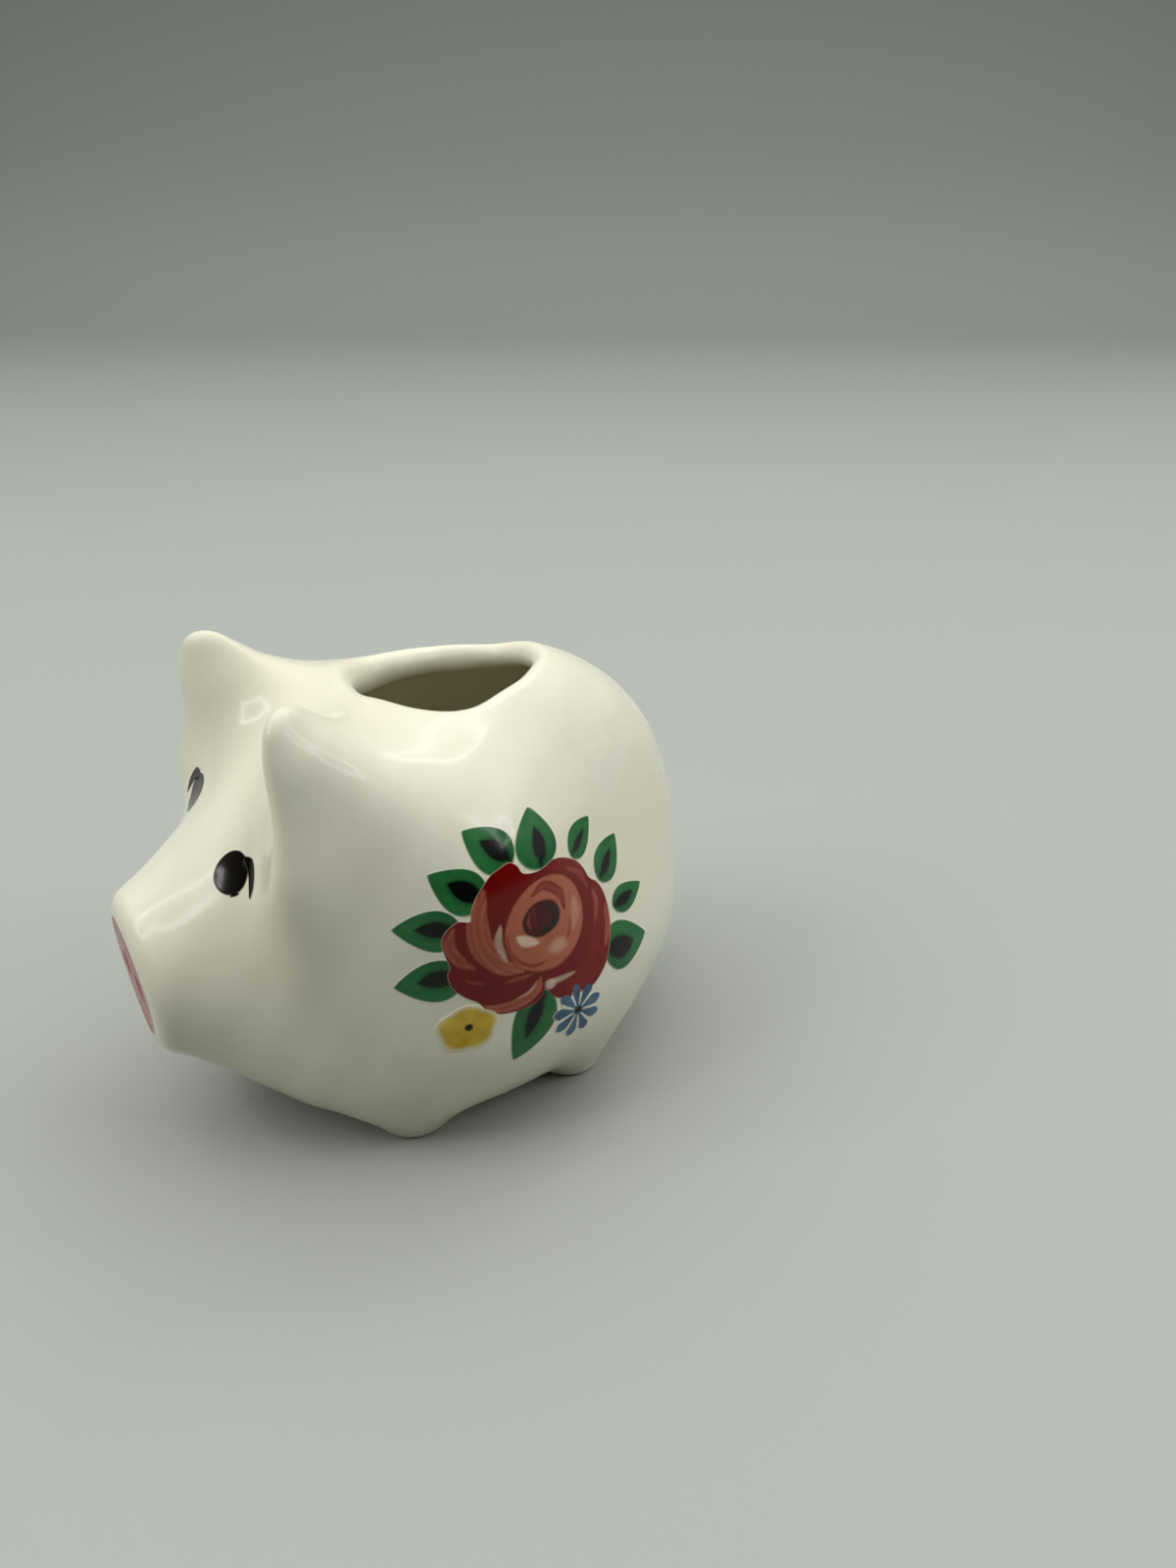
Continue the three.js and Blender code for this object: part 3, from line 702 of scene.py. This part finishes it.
# The yellow flower and the blue daisy
YELLOW_PLACE = np.array([-6.5, -8.5])
YELLOW_RADIUS = 2.65
BLUE_PLACE = np.array([4.2, -10.4])
BLUE_RADIUS = 2.55


def paint_rose(colours):
    """The rose in the old way: a dark ground, broad pink strokes turned about the heart, and a few lights."""
    deep, pale = np.array(colours.rose_deep), np.array(colours.rose_pale)
    paints = {
        "deep": deep,
        "heart": deep * HEART_SHADE,
        "red": np.array(colours.rose_red),
        "pink": np.array(colours.rose_pink),
        "pale": pale,
        "light": pale * LIGHT_LIFT,
        "night": np.array(colours.black),
    }

    def paint(places, rim):
        tint = np.tile(deep, (len(places), 1))
        strokes = 0
        for mark in ROSE_PAINTING:
            if isinstance(mark, Dab):
                cover = dab(places, mark.middle, mark.half, mark.softness)
            else:
                strokes += 1
                cover = brush(places, mark.path, mark.width, mark.streaks, mark.softness, strokes)
            tint = lay_over(tint, paints[mark.paint], cover * mark.cover)
        return with_cover(tint, rim_cover(rim, "rose"))

    return paint


def leaf_outline(leaf, count):
    foot_place, long, wide, way, _ = leaf
    t = np.linspace(0, 1, count + 1)
    half = wide / 2 * np.sin(math.pi * t**LEAF_WIDEST) ** LEAF_FULLNESS
    line = np.stack([long * t, -half], -1)
    back = np.stack([long * t, half], -1)[::-1]
    turn = math.radians(way)
    rotate = np.array([[math.cos(turn), math.sin(turn)], [-math.sin(turn), math.cos(turn)]])
    return np.vstack([line[:-1], back[:-1]]) @ rotate + foot_place


def paint_leaf(leaf, colours):
    foot_place, long, wide, way, heart_width = leaf
    green = np.array(colours.leaf_green)
    dark = np.array(colours.leaf_heart)
    turn = math.radians(way)
    along = np.array([math.cos(turn), math.sin(turn)])
    across = np.array([-along[1], along[0]])

    def paint(places, rim):
        t = (places - foot_place) @ along / long
        s = (places - foot_place) @ across / (wide / 2)
        tint = np.tile(green, (len(places), 1))
        shade = 0.86 + 0.2 * np.sin(2.2 * t + 1.3 * s) + 0.07 * np.sin(9 * s + 3 * t)
        tint = tint * shade[:, None]
        heart = heart_width * (1 - ((t - LEAF_HEART_MIDDLE) / LEAF_HEART_HALF) ** 2)
        heart = heart - np.abs(s + 0.08 * np.sin(4 * t))
        soft = heart * wide / 2
        tint = lay_over(tint, dark * 3, rounded_step(soft + 0.22, 0.5) * 0.35)
        tint = lay_over(tint, dark, rounded_step(soft, 0.2))
        return with_cover(tint, rim_cover(rim, "leaf"))

    return paint


def lobed(place, radius, lobes, depth, count, turned=0.0, stretch=(1, 1)):
    turn = TAU * np.arange(count) / count
    reach = radius * (1 - depth * (1 - np.abs(np.sin(lobes * (turn + turned) / 2))))
    return np.stack([reach * np.cos(turn) * stretch[0], reach * np.sin(turn) * stretch[1]], -1) + place


def paint_yellow(colours):
    yellow = np.array(colours.yellow)
    night = np.array(colours.black)

    def paint(places, rim):
        out = places - YELLOW_PLACE
        turn = np.arctan2(out[:, 1], out[:, 0])
        tint = np.tile(yellow, (len(places), 1))
        tint *= (0.9 + 0.14 * np.sin(5 * turn + 0.8) * length(out) / 2.5)[:, None]
        shade = dab(places, YELLOW_PLACE + (-0.9, -1), (1.1, 0.8), 1.2) * 0.5
        tint = lay_over(tint, yellow * (0.75, 0.6, 0.35), shade)
        tint = lay_over(tint, night, dab(places, YELLOW_PLACE + (0.1, 0.1), (0.36, 0.32), 0.16))
        return with_cover(tint, rim_cover(rim, "yellow"))

    return paint


def paint_blue(colours):
    blue = np.array(colours.blue)
    night = np.array(colours.black)

    def paint(places, rim):
        out = places - BLUE_PLACE
        turn = np.arctan2(out[:, 1], out[:, 0])
        far = length(out)
        tint = np.tile(blue, (len(places), 1))
        tint *= (0.92 + 0.2 * np.sin(3 * turn + far))[:, None]
        petals = np.abs(np.sin(4.5 * (turn + 0.2)))
        gaps = rounded_step((petals - 0.3) * far - 0.1, 0.35)
        middle = dab(places, BLUE_PLACE + (0.05, 0), (0.55, 0.5), 0.2)
        tint = lay_over(tint, night * (1, 1, 3), dab(places, BLUE_PLACE + (0.05, 0.02), (0.4, 0.3), 0.14))
        cover = np.maximum(gaps, middle) * rim_cover(rim, "blue")
        return with_cover(tint, cover)

    return paint


# Sockets of the Mix node that share one name and are told apart by number
MIX_SHARE = 0
MIX_FIRST = 6
MIX_SECOND = 7
MIX_COLOUR = 2

# A noise keeps mostly between these
NOISE_LOW = 0.3
NOISE_HIGH = 0.7


class Link:
    """A value inside a node tree that Python's operators can work on."""

    def __init__(self, owner, socket):
        self.owner = owner
        self.socket = socket

    def maths(self, operation, left, right):
        return self.owner.node("ShaderNodeMath", {"operation": operation}, {0: left, 1: right})["Value"]

    def __add__(self, other):
        return self.maths("ADD", self, other)

    def __radd__(self, other):
        return self.maths("ADD", other, self)


class Made:
    """A node that was just made, whose outputs come out as links, by name or by number."""

    def __init__(self, owner, node):
        self.owner = owner
        self.node = node

    def __getitem__(self, output):
        return Link(self.owner, self.node.outputs[output])


class NodeTree:
    """A tree of nodes that is put together node by node."""

    def __init__(self, tree):
        self.tree = tree

    def node(self, kind, settings=(), sockets=()):
        node = self.tree.nodes.new(kind)
        for name, value in dict(settings).items():
            setattr(node, name, value)
        for name, value in dict(sockets).items():
            self.plug(node.inputs[name], value)
        return Made(self, node)

    def plug(self, socket, value):
        if isinstance(value, Link):
            self.tree.links.new(value.socket, socket)
        elif socket.type == "RGBA" and len(value) == 3:
            socket.default_value = (*value, 1)
        else:
            socket.default_value = value

    def mix(self, share, a, b):
        """Two colours mixed by a share."""
        sockets = {MIX_SHARE: share, MIX_FIRST: a, MIX_SECOND: b}
        return self.node("ShaderNodeMix", {"data_type": "RGBA"}, sockets)[MIX_COLOUR]


class Finish(NodeTree):
    """A surface finish."""

    def __init__(self, name):
        self.material = bpy.data.materials.new(name)
        self.material.use_nodes = True
        super().__init__(self.material.node_tree)
        self.shader = self.tree.nodes["Principled BSDF"]

    def set(self, **sockets):
        for name, value in sockets.items():
            self.plug(self.shader.inputs[name.replace("_", " ")], value)


def noise(finish, scale, detail=2.0, roughness=0.5):
    place = finish.node("ShaderNodeTexCoord")["Object"]
    sockets = {"Vector": place, "Scale": scale, "Detail": detail, "Roughness": roughness}
    return finish.node("ShaderNodeTexNoise", {}, sockets)["Fac"]


def spread(finish, value, low, high):
    """Stretches a noise from its usual middle range to a share between two numbers."""
    sockets = {"Value": value, "From Min": NOISE_LOW, "From Max": NOISE_HIGH, "To Min": low, "To Max": high}
    return finish.node("ShaderNodeMapRange", {"clamp": True}, sockets)["Result"]


def glaze_colour(finish, glaze, deeper_glaze_and_crease_shade):
    """Ivory glaze that is a little deeper where it ran together."""
    cloud = spread(finish, noise(finish, scale=90, detail=3, roughness=0.55), low=0, high=0.55)
    grain = spread(finish, noise(finish, scale=900), low=0, high=0.2)
    return finish.mix(cloud + grain, glaze, deeper_glaze_and_crease_shade)


def gloss(finish, settings, rough):
    """The shine of fired glaze: a nearly smooth coat with the finest orange peel."""
    waver = spread(finish, noise(finish, scale=160, detail=3), low=rough * 0.8, high=rough * 1.35)
    peel = noise(finish, scale=420)
    sockets = {"Strength": 0.12, "Distance": 0.12 * MM, "Height": peel}
    bump = finish.node("ShaderNodeBump", {}, sockets)["Normal"]
    finish.set(Roughness=waver, Normal=bump, IOR=1.52, Specular_IOR_Level=settings.shine)
    finish.set(Coat_Weight=settings.coat, Coat_Roughness=0.03, Coat_IOR=1.5)


def glazed_finish(settings):
    finish = Finish("ivory glaze")
    outside = glaze_colour(finish, settings.glaze, settings.deeper_glaze_and_crease_shade)
    pooling_and_crease_shade = finish.node("ShaderNodeAttribute", {"attribute_name": "pooling_and_crease_shade"})["Fac"]
    # Painted shade down the inside of the hollow, by each point's value of how deep inside it lies
    hollow = finish.node("ShaderNodeAttribute", {"attribute_name": "hollow"})["Fac"]
    # Painted shade in creases and dips, together with glaze pooling there: the deeper glaze colour by each
    # point's dip value
    shaded = finish.mix(pooling_and_crease_shade, outside, settings.deeper_glaze_and_crease_shade)
    finish.set(Base_Color=finish.mix(hollow, shaded, settings.hollow))
    gloss(finish, settings, settings.roughness)
    return finish.material


def painted_finish(name, settings, rough, grain):
    """Enamel by the strokes on its points, with the glaze showing through where it thins out."""
    finish = Finish(name)
    glaze = glaze_colour(finish, settings.glaze, settings.deeper_glaze_and_crease_shade)
    paint = finish.node("ShaderNodeAttribute", {"attribute_name": "paint"})
    sockets = {"Value": 0.72, "Saturation": 1.08, "Color": paint["Color"]}
    deeper = finish.node("ShaderNodeHueSaturation", {}, sockets)["Color"]
    mottle = spread(finish, noise(finish, scale=grain, detail=4, roughness=0.65), low=0, high=0.55)
    mottled = finish.mix(mottle, paint["Color"], deeper)
    finish.set(Base_Color=finish.mix(paint["Alpha"], glaze, mottled))
    gloss(finish, settings, rough)
    return finish.material


def srgb(code):
    """A colour written as six hex digits, as linear light."""
    parts = [int(code[i : i + 2], 16) / 255 for i in (0, 2, 4)]
    return tuple(p / 12.92 if p <= 0.04045 else ((p + 0.055) / 1.055) ** 2.4 for p in parts)


def colour_property(name, description, code):
    return FloatVectorProperty(
        name=name, description=description, subtype="COLOR", size=3, min=0, max=1, default=srgb(code))


def length_property(name, description, millimetres_long):
    return FloatProperty(
        name=name, description=description, unit="LENGTH", min=0, default=millimetres_long * MM, precision=5)


def share_property(name, description, default):
    return FloatProperty(name=name, description=description, default=default, min=0, max=1)


def power_property(name, description, default):
    return FloatProperty(name=name, description=description, default=default, min=0)


def count_property(name, description, default, least):
    return IntProperty(name=name, description=description, default=default, min=least)


class PigCastingSettings(bpy.types.PropertyGroup):
    wall: length_property("Wall", "Thickness of the cast wall", 2.8)
    unevenness: length_property("Unevenness", "Height of the slow waves that hand sponging leaves", 0.1)
    snout_edge: length_property("Snout edge", "Width of the rounding round the flat snout", 1.6)
    columns: count_property("Columns", "Columns of the skin round the barrel", 480, 48)
    outside_rows: count_property("Rows", "Rows of the skin from lip to belly", 230, 20)
    glaze: colour_property("Glaze", "Ivory glaze in the light", "f5f4e0")
    # The deeper glaze tone, used for random clouds and also to paint shade, with pooling, into creases and
    # dips
    deeper_glaze_and_crease_shade: colour_property("Pooled glaze", "Glaze where it ran together", "e9e6cd")
    # The hollow's colour is painted shade, which darkens the glaze further down inside
    hollow: colour_property("Hollow", "Glaze inside, where it is thicker and yellower", "e2dec4")
    roughness: share_property("Roughness", "Roughness of the glaze", 0.16)
    shine: share_property("Shine", "Strength of the glaze's mirroring", 0.2)
    coat: share_property("Coat", "Clear coat over glaze and enamel", 0.08)


class PigEnamelSettings(bpy.types.PropertyGroup):
    rise: length_property("Rise", "How far fired enamel stands above the glaze", 0.05)
    black: colour_property("Black", "Eyes and flower hearts", "14110e")
    snout: colour_property("Snout pink", "Dusty pink of the snout", "b5666b")
    rose_deep: colour_property("Rose ground", "Dark ground of the rose", "770c08")
    rose_red: colour_property("Rose red", "Brownish red of the rose's outer petals", "8c2519")
    rose_pink: colour_property("Rose pink", "Broad strokes of the rose", "bd6c53")
    rose_pale: colour_property("Rose lights", "Palest strokes of the rose", "e6ccb4")
    leaf_green: colour_property("Leaf green", "Green of the leaves", "2c713c")
    leaf_heart: colour_property("Leaf heart", "Near-black hearts of the leaves", "050b07")
    yellow: colour_property("Yellow", "Yellow flower", "e8c649")
    blue: colour_property("Blue", "Blue daisy", "4f7491")


class PigStageSettings(bpy.types.PropertyGroup):
    floor: colour_property("Floor", "Pale grey-green floor as it is seen", "abafa9")
    bounced: colour_property("Bounced floor", "Darker floor as the pig gets its light back from it", "8d918a")
    backdrop: colour_property("Backdrop", "Grey-green of the wall that the floor sweeps up into", "9ea49c")
    key: power_property("Key light", "Power of the light above", 6.9)
    back: power_property("Back light", "Power of the light over the backdrop", 3)
    fill: power_property("Fill light", "Power of the light behind", 0.3)
    lamps: power_property("Lamps", "Brightness of the square lamps", 9.5)
    ambient: power_property("Ambient", "Light of the room all round", 0.03)
    mirrored: power_property("Mirrored room", "Brightness of the ceiling that the glaze mirrors", 0.7)


def shared_casting():
    return Casting(bpy.context.scene.pig_casting)


class PIG_OT_casting(bpy.types.Operator):
    """Lays the glazed skin of the casting, with its open back, lip, feet and tail"""

    bl_idname = "pig.casting"
    bl_label = "Glazed Casting"

    def execute(self, context):
        settings = context.scene.pig_casting
        casting = shared_casting()
        skin, lip_row, hollow_row = lay_skin(casting, settings.columns, settings.outside_rows)
        columns, rows = skin.shape[:2]
        down = way_out(np.zeros(1), np.full(1, math.pi))
        under = land_from_middle(casting.outside, down)
        floor = land_from_middle(casting.inside, down)
        points = np.vstack([skin.reshape(-1, 3), under, floor])
        faces = []
        for i in range(columns):
            here, there = i * rows, (i + 1) % columns * rows
            faces.append((columns * rows, there, here))
            faces.append((columns * rows + 1, here + rows - 1, there + rows - 1))
            for row in range(rows - 1):
                faces.append((here + row, there + row, there + row + 1, here + row + 1))
        piece = make_object("glazed_body", points, faces, ["pig_casting"], glazed_finish(settings))
        # How deep inside the hollow each point lies, which paints shade down the inside
        depth = np.clip((np.arange(rows) - lip_row - LIP_ROWS_WITHOUT_HOLLOW_SHADE) / (hollow_row - lip_row), 0, 1)
        add_point_values(piece, "hollow", np.concatenate([np.tile(depth, columns), [0, 1]]))
        # How far each point lies in a dip, which paints crease shade together with glaze pooling there
        normal = slope(casting.outside, points)
        bend = casting.outside(points + normal * POOL_AND_SHADE_REACH) - POOL_AND_SHADE_REACH - casting.outside(points)
        add_point_values(piece, "pooling_and_crease_shade", np.clip(-bend * POOL_AND_SHADE_DEPTH, 0, POOL_AND_SHADE_MOST))
        return {"FINISHED"}


class PIG_OT_snout(bpy.types.Operator):
    """Lays the pink enamel on the flat of the snout"""

    bl_idname = "pig.snout"
    bl_label = "Snout Enamel"

    def execute(self, context):
        settings = context.scene.pig_enamel
        enamel = Enamel(shared_casting(), settings)
        turn = TAU * np.arange(160) / 160
        reach = SNOUT_PAINT_RADIUS + 0.1 * np.sin(3 * turn + 0.6) + 0.07 * np.sin(7 * turn)
        outline = np.stack([reach * np.cos(turn), reach * np.sin(turn)], -1)
        enamel.island(outline, rings=40, seat=snout_seat, mirrored=True)
        pink = np.array(settings.snout)

        def paint(places, rim):
            tint = np.tile(pink, (len(places), 1))
            for side in (-1, 1):
                gap = length(places - (side * NOSTRIL_SPACING / 2, 0))
                tint = lay_over(tint, pink * 0.45, rounded_step(1.15 - gap, 0.7) * 0.8)
            return with_cover(tint, rim_cover(rim, "snout"))

        finish = painted_finish("dusty pink enamel", context.scene.pig_casting, rough=0.28, grain=500)
        enamel.finish("snout_paint", "pink_enamel", ["snout_enamel"], finish, paint)
        return {"FINISHED"}


class PIG_OT_eyes(bpy.types.Operator):
    """Paints the two eyes, a full dark round with one lash that curls down beside it"""

    bl_idname = "pig.eyes"
    bl_label = "Eyes"

    def execute(self, context):
        settings = context.scene.pig_enamel
        black = np.array(settings.black)
        finish = painted_finish("black enamel", context.scene.pig_casting, rough=0.12, grain=300)
        round_eye = lobed((0, 0), EYE_RADIUS, lobes=0, depth=0, count=96)
        lash = stroke_outline(LASH * EYE_RADIUS, LASH_WIDTHS * EYE_RADIUS, count=60)
        tick = stroke_outline(TICK * EYE_RADIUS, TICK_WIDTHS * EYE_RADIUS, count=24)
        for name, side, place in (("left", 1, LEFT_EYE_PLACE), ("right", -1, RIGHT_EYE_PLACE)):
            casting = shared_casting()
            seat = eye_seat(casting, side, place)
            enamel = Enamel(casting, settings)
            turned = side < 0
            enamel.island(round_eye, rings=24, seat=seat, mirrored=turned)
            enamel.island(lash, rings=8, seat=seat, mirrored=turned)
            enamel.island(tick, rings=5, seat=seat, mirrored=turned)

            def paint(places, rim):
                return with_cover(np.tile(black, (len(places), 1)), rim_cover(rim, "eye"))

            enamel.finish(f"{name}_eye_paint", "black_enamel", [f"{name}_eye"], finish, paint)
        return {"FINISHED"}


def lay_motif(context, name, side, outline, slot_name, finish, paint, rings, seat=flank_seat, thinned=1):
    """Lays one enamel motif of the spray on a flank."""
    enamel = Enamel(shared_casting(), context.scene.pig_enamel)
    enamel.rise *= thinned
    enamel.island(outline, rings, seat(side), side < 0)
    enamel.finish(f"{name}_paint", slot_name, [name], finish, paint)


class PIG_OT_roses(bpy.types.Operator):
    """Paints the rose in the middle of each flank"""

    bl_idname = "pig.roses"
    bl_label = "Roses"

    def execute(self, context):
        finish = painted_finish("rose enamel", context.scene.pig_casting, rough=0.2, grain=700)
        paint = paint_rose(context.scene.pig_enamel)
        outline = smooth_loop(ROSE_RIM, count=336)
        for name, side in (("left", 1), ("right", -1)):
            lay_motif(
                context, f"{name}_rose", side, outline, "rose_enamel", finish, paint, rings=80,
                seat=rose_seat)
        return {"FINISHED"}


class PIG_OT_leaves(bpy.types.Operator):
    """Paints ten leaves round each rose"""

    bl_idname = "pig.leaves"
    bl_label = "Leaves"

    def execute(self, context):
        finish = painted_finish("green enamel", context.scene.pig_casting, rough=0.18, grain=600)
        for name, side in (("left", 1), ("right", -1)):
            for number, leaf in enumerate(LEAVES, 1):
                paint = paint_leaf(leaf, context.scene.pig_enamel)
                node = f"{name}_leaf_{number}"
                outline = leaf_outline(leaf, count=44)
                lay_motif(
                    context, node, side, outline, "green_enamel", finish, paint, rings=20,
                    thinned=LEAF_THINNING)
        return {"FINISHED"}


class PIG_OT_small_flowers(bpy.types.Operator):
    """Paints the yellow flower and the blue daisy under each rose"""

    bl_idname = "pig.small_flowers"
    bl_label = "Small Flowers"

    def execute(self, context):
        settings = context.scene.pig_enamel
        yellow_finish = painted_finish("yellow enamel", context.scene.pig_casting, rough=0.22, grain=500)
        blue_finish = painted_finish("blue enamel", context.scene.pig_casting, rough=0.22, grain=500)
        yellow = lobed(
            YELLOW_PLACE, YELLOW_RADIUS, lobes=5, depth=0.12, count=120, turned=0.3, stretch=(1.1, 0.85))
        blue = lobed(BLUE_PLACE, BLUE_RADIUS, lobes=9, depth=0.35, count=216, turned=0.2, stretch=(1.1, 1))
        for name, side in (("left", 1), ("right", -1)):
            node = f"{name}_yellow_flower"
            paint = paint_yellow(settings)
            lay_motif(context, node, side, yellow, "yellow_enamel", yellow_finish, paint, rings=24)
            node = f"{name}_blue_flower"
            paint = paint_blue(settings)
            lay_motif(context, node, side, blue, "blue_enamel", blue_finish, paint, rings=26)
        return {"FINISHED"}


def aim(thing, target):
    thing.rotation_euler = (Vector(target) - thing.location).to_track_quat("-Z", "Y").to_euler()


def soft_light(name, place, target, size, turned, power):
    lamp = bpy.data.lights.new(name, "AREA")
    lamp.shape = "RECTANGLE"
    lamp.size, lamp.size_y = size
    lamp.energy = power
    light = bpy.data.objects.new(name, lamp)
    light.location = place
    bpy.context.scene.collection.objects.link(light)
    aim(light, target)
    light.rotation_euler.rotate_axis("Z", math.radians(turned))
    return light


def lamp_frame(name, place, outer, turned, strength):
    """A square frame of light tubes, which the glaze mirrors as a small bright square."""
    inner = outer * LAMP_OPENING
    corners = [(-1, -1), (1, -1), (1, 1), (-1, 1)]
    points = [(x * reach, y * reach, 0) for reach in (outer, inner) for x, y in corners]
    faces = [(i, (i + 1) % 4, 4 + (i + 1) % 4, 4 + i) for i in range(4)]
    mesh = bpy.data.meshes.new(name)
    mesh.from_pydata(points, [], faces)
    finish = Finish(name)
    finish.set(Base_Color=(0, 0, 0), Emission_Color=(1, 1, 1), Emission_Strength=strength)
    mesh.materials.append(finish.material)
    frame_object = bpy.data.objects.new(name, mesh)
    bpy.context.scene.collection.objects.link(frame_object)
    frame_object.location = place
    aim(frame_object, LAMP_TARGET)
    frame_object.rotation_euler.rotate_axis("Z", math.radians(turned))


class PIG_OT_stage(bpy.types.Operator):
    """Sets the pale floor, the soft lights and the camera"""

    bl_idname = "pig.stage"
    bl_label = "Stage"

    def execute(self, context):
        settings = context.scene.pig_stage
        self.make_floor(settings)
        self.make_lights(settings)
        self.make_room(settings)
        self.make_camera()
        return {"FINISHED"}

    def make_floor(self, settings):
        """A plain floor that sweeps up behind the pig"""
        rise = np.linspace(0, 1, SWEEP_STEPS)
        turn = rise * math.pi / 2
        back = np.concatenate([[-FLOOR_NEAR], FLOOR_FAR + SWEEP * np.sin(turn), [FLOOR_FAR + SWEEP]])
        up = np.concatenate([[0], SWEEP - SWEEP * np.cos(turn), [WALL_TOP]])
        way = np.array([-math.sin(SWEEP_TURN), math.cos(SWEEP_TURN)])
        side = np.array([way[1], -way[0]]) * FLOOR_REACH
        points = []
        for far, high in zip(back, up):
            for edge in (-side, side):
                points.append((*(way * far + edge), high - FLOOR_GAP))
        faces = [(i, i + 1, i + 3, i + 2) for i in range(0, len(points) - 2, 2)]
        mesh = bpy.data.meshes.new("floor")
        mesh.from_pydata(points, [], faces)
        mesh.shade_smooth()
        floor = bpy.data.objects.new("floor", mesh)
        bpy.context.scene.collection.objects.link(floor)
        finish = Finish("plain floor")
        place = finish.node("ShaderNodeTexCoord")["Object"]
        height = finish.node("ShaderNodeSeparateXYZ", {}, {"Vector": place})["Z"]
        sockets = {"Value": height, "From Min": FAR_FROM, "From Max": FAR_TO}
        share = finish.node("ShaderNodeMapRange", {"interpolation_type": "SMOOTHSTEP"}, sockets)["Result"]
        seen = finish.mix(share, settings.floor, settings.backdrop)
        path = finish.node("ShaderNodeLightPath")
        shown = path["Is Camera Ray"] + path["Is Glossy Ray"] + path["Is Transmission Ray"]
        finish.set(Base_Color=finish.mix(shown, settings.bounced, seen), Roughness=0.6)
        mesh.materials.append(finish.material)

    def make_lights(self, settings):
        above = soft_light(
            "above", place=(-0.09, 0.09, 0.55), target=(-0.09, 0.09, 0), size=(0.8, 1.8),
            turned=LIGHTS_TURNED, power=settings.key)
        above.visible_glossy = False
        over = soft_light(
            "over the back", place=(-0.85, 0.4, 0.8), target=(-0.85, 0.4, 0), size=(0.7, 1.6),
            turned=LIGHTS_TURNED, power=settings.back)
        over.visible_glossy = False
        soft_light(
            "behind", place=(0.3, 0.75, 0.22), target=(0, 0, 0.02), size=(0.4, 0.3), turned=0,
            power=settings.fill)
        lamps = settings.lamps
        lamp_frame("lamp in front", place=(-0.07, -0.38, 0.375), outer=0.115, turned=15, strength=lamps)
        lamp_frame("lamp behind", place=(-0.12, 0.275, 0.435), outer=0.055, turned=30, strength=lamps)
        lamp_frame("lamp beside", place=(0.3, 0.295, 0.305), outer=0.08, turned=0, strength=lamps)

    def make_room(self, settings):
        """A dim room whose ceiling only the glaze mirrors"""
        world = bpy.data.worlds.new("room")
        world.use_nodes = True
        room = NodeTree(world.node_tree)
        way = room.node("ShaderNodeTexCoord")["Generated"]
        up = room.node("ShaderNodeSeparateXYZ", {}, {"Vector": way})["Z"]
        sockets = {"Value": up, "From Min": 0.1, "To Max": settings.mirrored}
        ceiling = room.node("ShaderNodeMapRange", {"interpolation_type": "SMOOTHSTEP"}, sockets)["Result"]
        mirrored = room.node("ShaderNodeLightPath")["Is Glossy Ray"]
        sockets = {"Value": mirrored, "To Min": settings.ambient, "To Max": ceiling}
        background = world.node_tree.nodes["Background"]
        room.plug(background.inputs["Strength"], room.node("ShaderNodeMapRange", {}, sockets)["Result"])
        room.plug(background.inputs["Color"], (0.95, 0.97, 0.93))
        bpy.context.scene.world = world

    def make_camera(self):
        level, down = math.cos(CAMERA_PITCH), math.sin(CAMERA_PITCH)
        forward = Vector((math.sin(CAMERA_YAW) * level, math.cos(CAMERA_YAW) * level, -down))
        right = Vector((math.cos(CAMERA_YAW), -math.sin(CAMERA_YAW), 0))
        up = right.cross(forward)
        roll_along, roll_across = math.cos(CAMERA_ROLL), math.sin(CAMERA_ROLL)
        right, up = right * roll_along + up * roll_across, up * roll_along - right * roll_across
        lens = bpy.data.cameras.new("camera")
        lens.sensor_fit = "VERTICAL"
        lens.angle = CAMERA_ANGLE
        lens.clip_start = 0.005
        lens.clip_end = 20
        camera = bpy.data.objects.new("camera", lens)
        turn = Matrix((right, up, -forward)).transposed().to_4x4()
        place = (CAMERA_PLACE + FRAME_SHIFT) * MM
        camera.matrix_world = Matrix.Translation(Vector(place)) @ turn
        bpy.context.scene.collection.objects.link(camera)
        bpy.context.scene.camera = camera


class PIG_PT_panel(bpy.types.Panel):
    bl_label = "Pottery Pig"
    bl_idname = "PIG_PT_panel"
    bl_space_type = "VIEW_3D"
    bl_region_type = "UI"
    bl_category = "Pig"

    def draw(self, context):
        for group in ("pig_casting", "pig_enamel", "pig_stage"):
            settings = getattr(context.scene, group)
            box = self.layout.box()
            for name in settings.__annotations__:
                box.prop(settings, name)
        for operator in OPERATORS:
            self.layout.operator(operator.bl_idname)


GROUPS = {
    "pig_casting": PigCastingSettings,
    "pig_enamel": PigEnamelSettings,
    "pig_stage": PigStageSettings,
}
OPERATORS = [
    PIG_OT_casting,
    PIG_OT_snout,
    PIG_OT_eyes,
    PIG_OT_roses,
    PIG_OT_leaves,
    PIG_OT_small_flowers,
    PIG_OT_stage,
]


def register():
    for kind in (*GROUPS.values(), *OPERATORS, PIG_PT_panel):
        bpy.utils.register_class(kind)
    for name, group in GROUPS.items():
        setattr(bpy.types.Scene, name, PointerProperty(type=group))


def unregister():
    for name in GROUPS:
        delattr(bpy.types.Scene, name)
    for kind in (PIG_PT_panel, *reversed(OPERATORS), *GROUPS.values()):
        bpy.utils.unregister_class(kind)


def main():
    register()
    bpy.context.scene.view_settings.view_transform = "Standard"
    bpy.ops.pig.casting()
    bpy.ops.pig.snout()
    bpy.ops.pig.eyes()
    bpy.ops.pig.roses()
    bpy.ops.pig.leaves()
    bpy.ops.pig.small_flowers()
    bpy.ops.pig.stage()


if __name__ == "__main__":
    main()
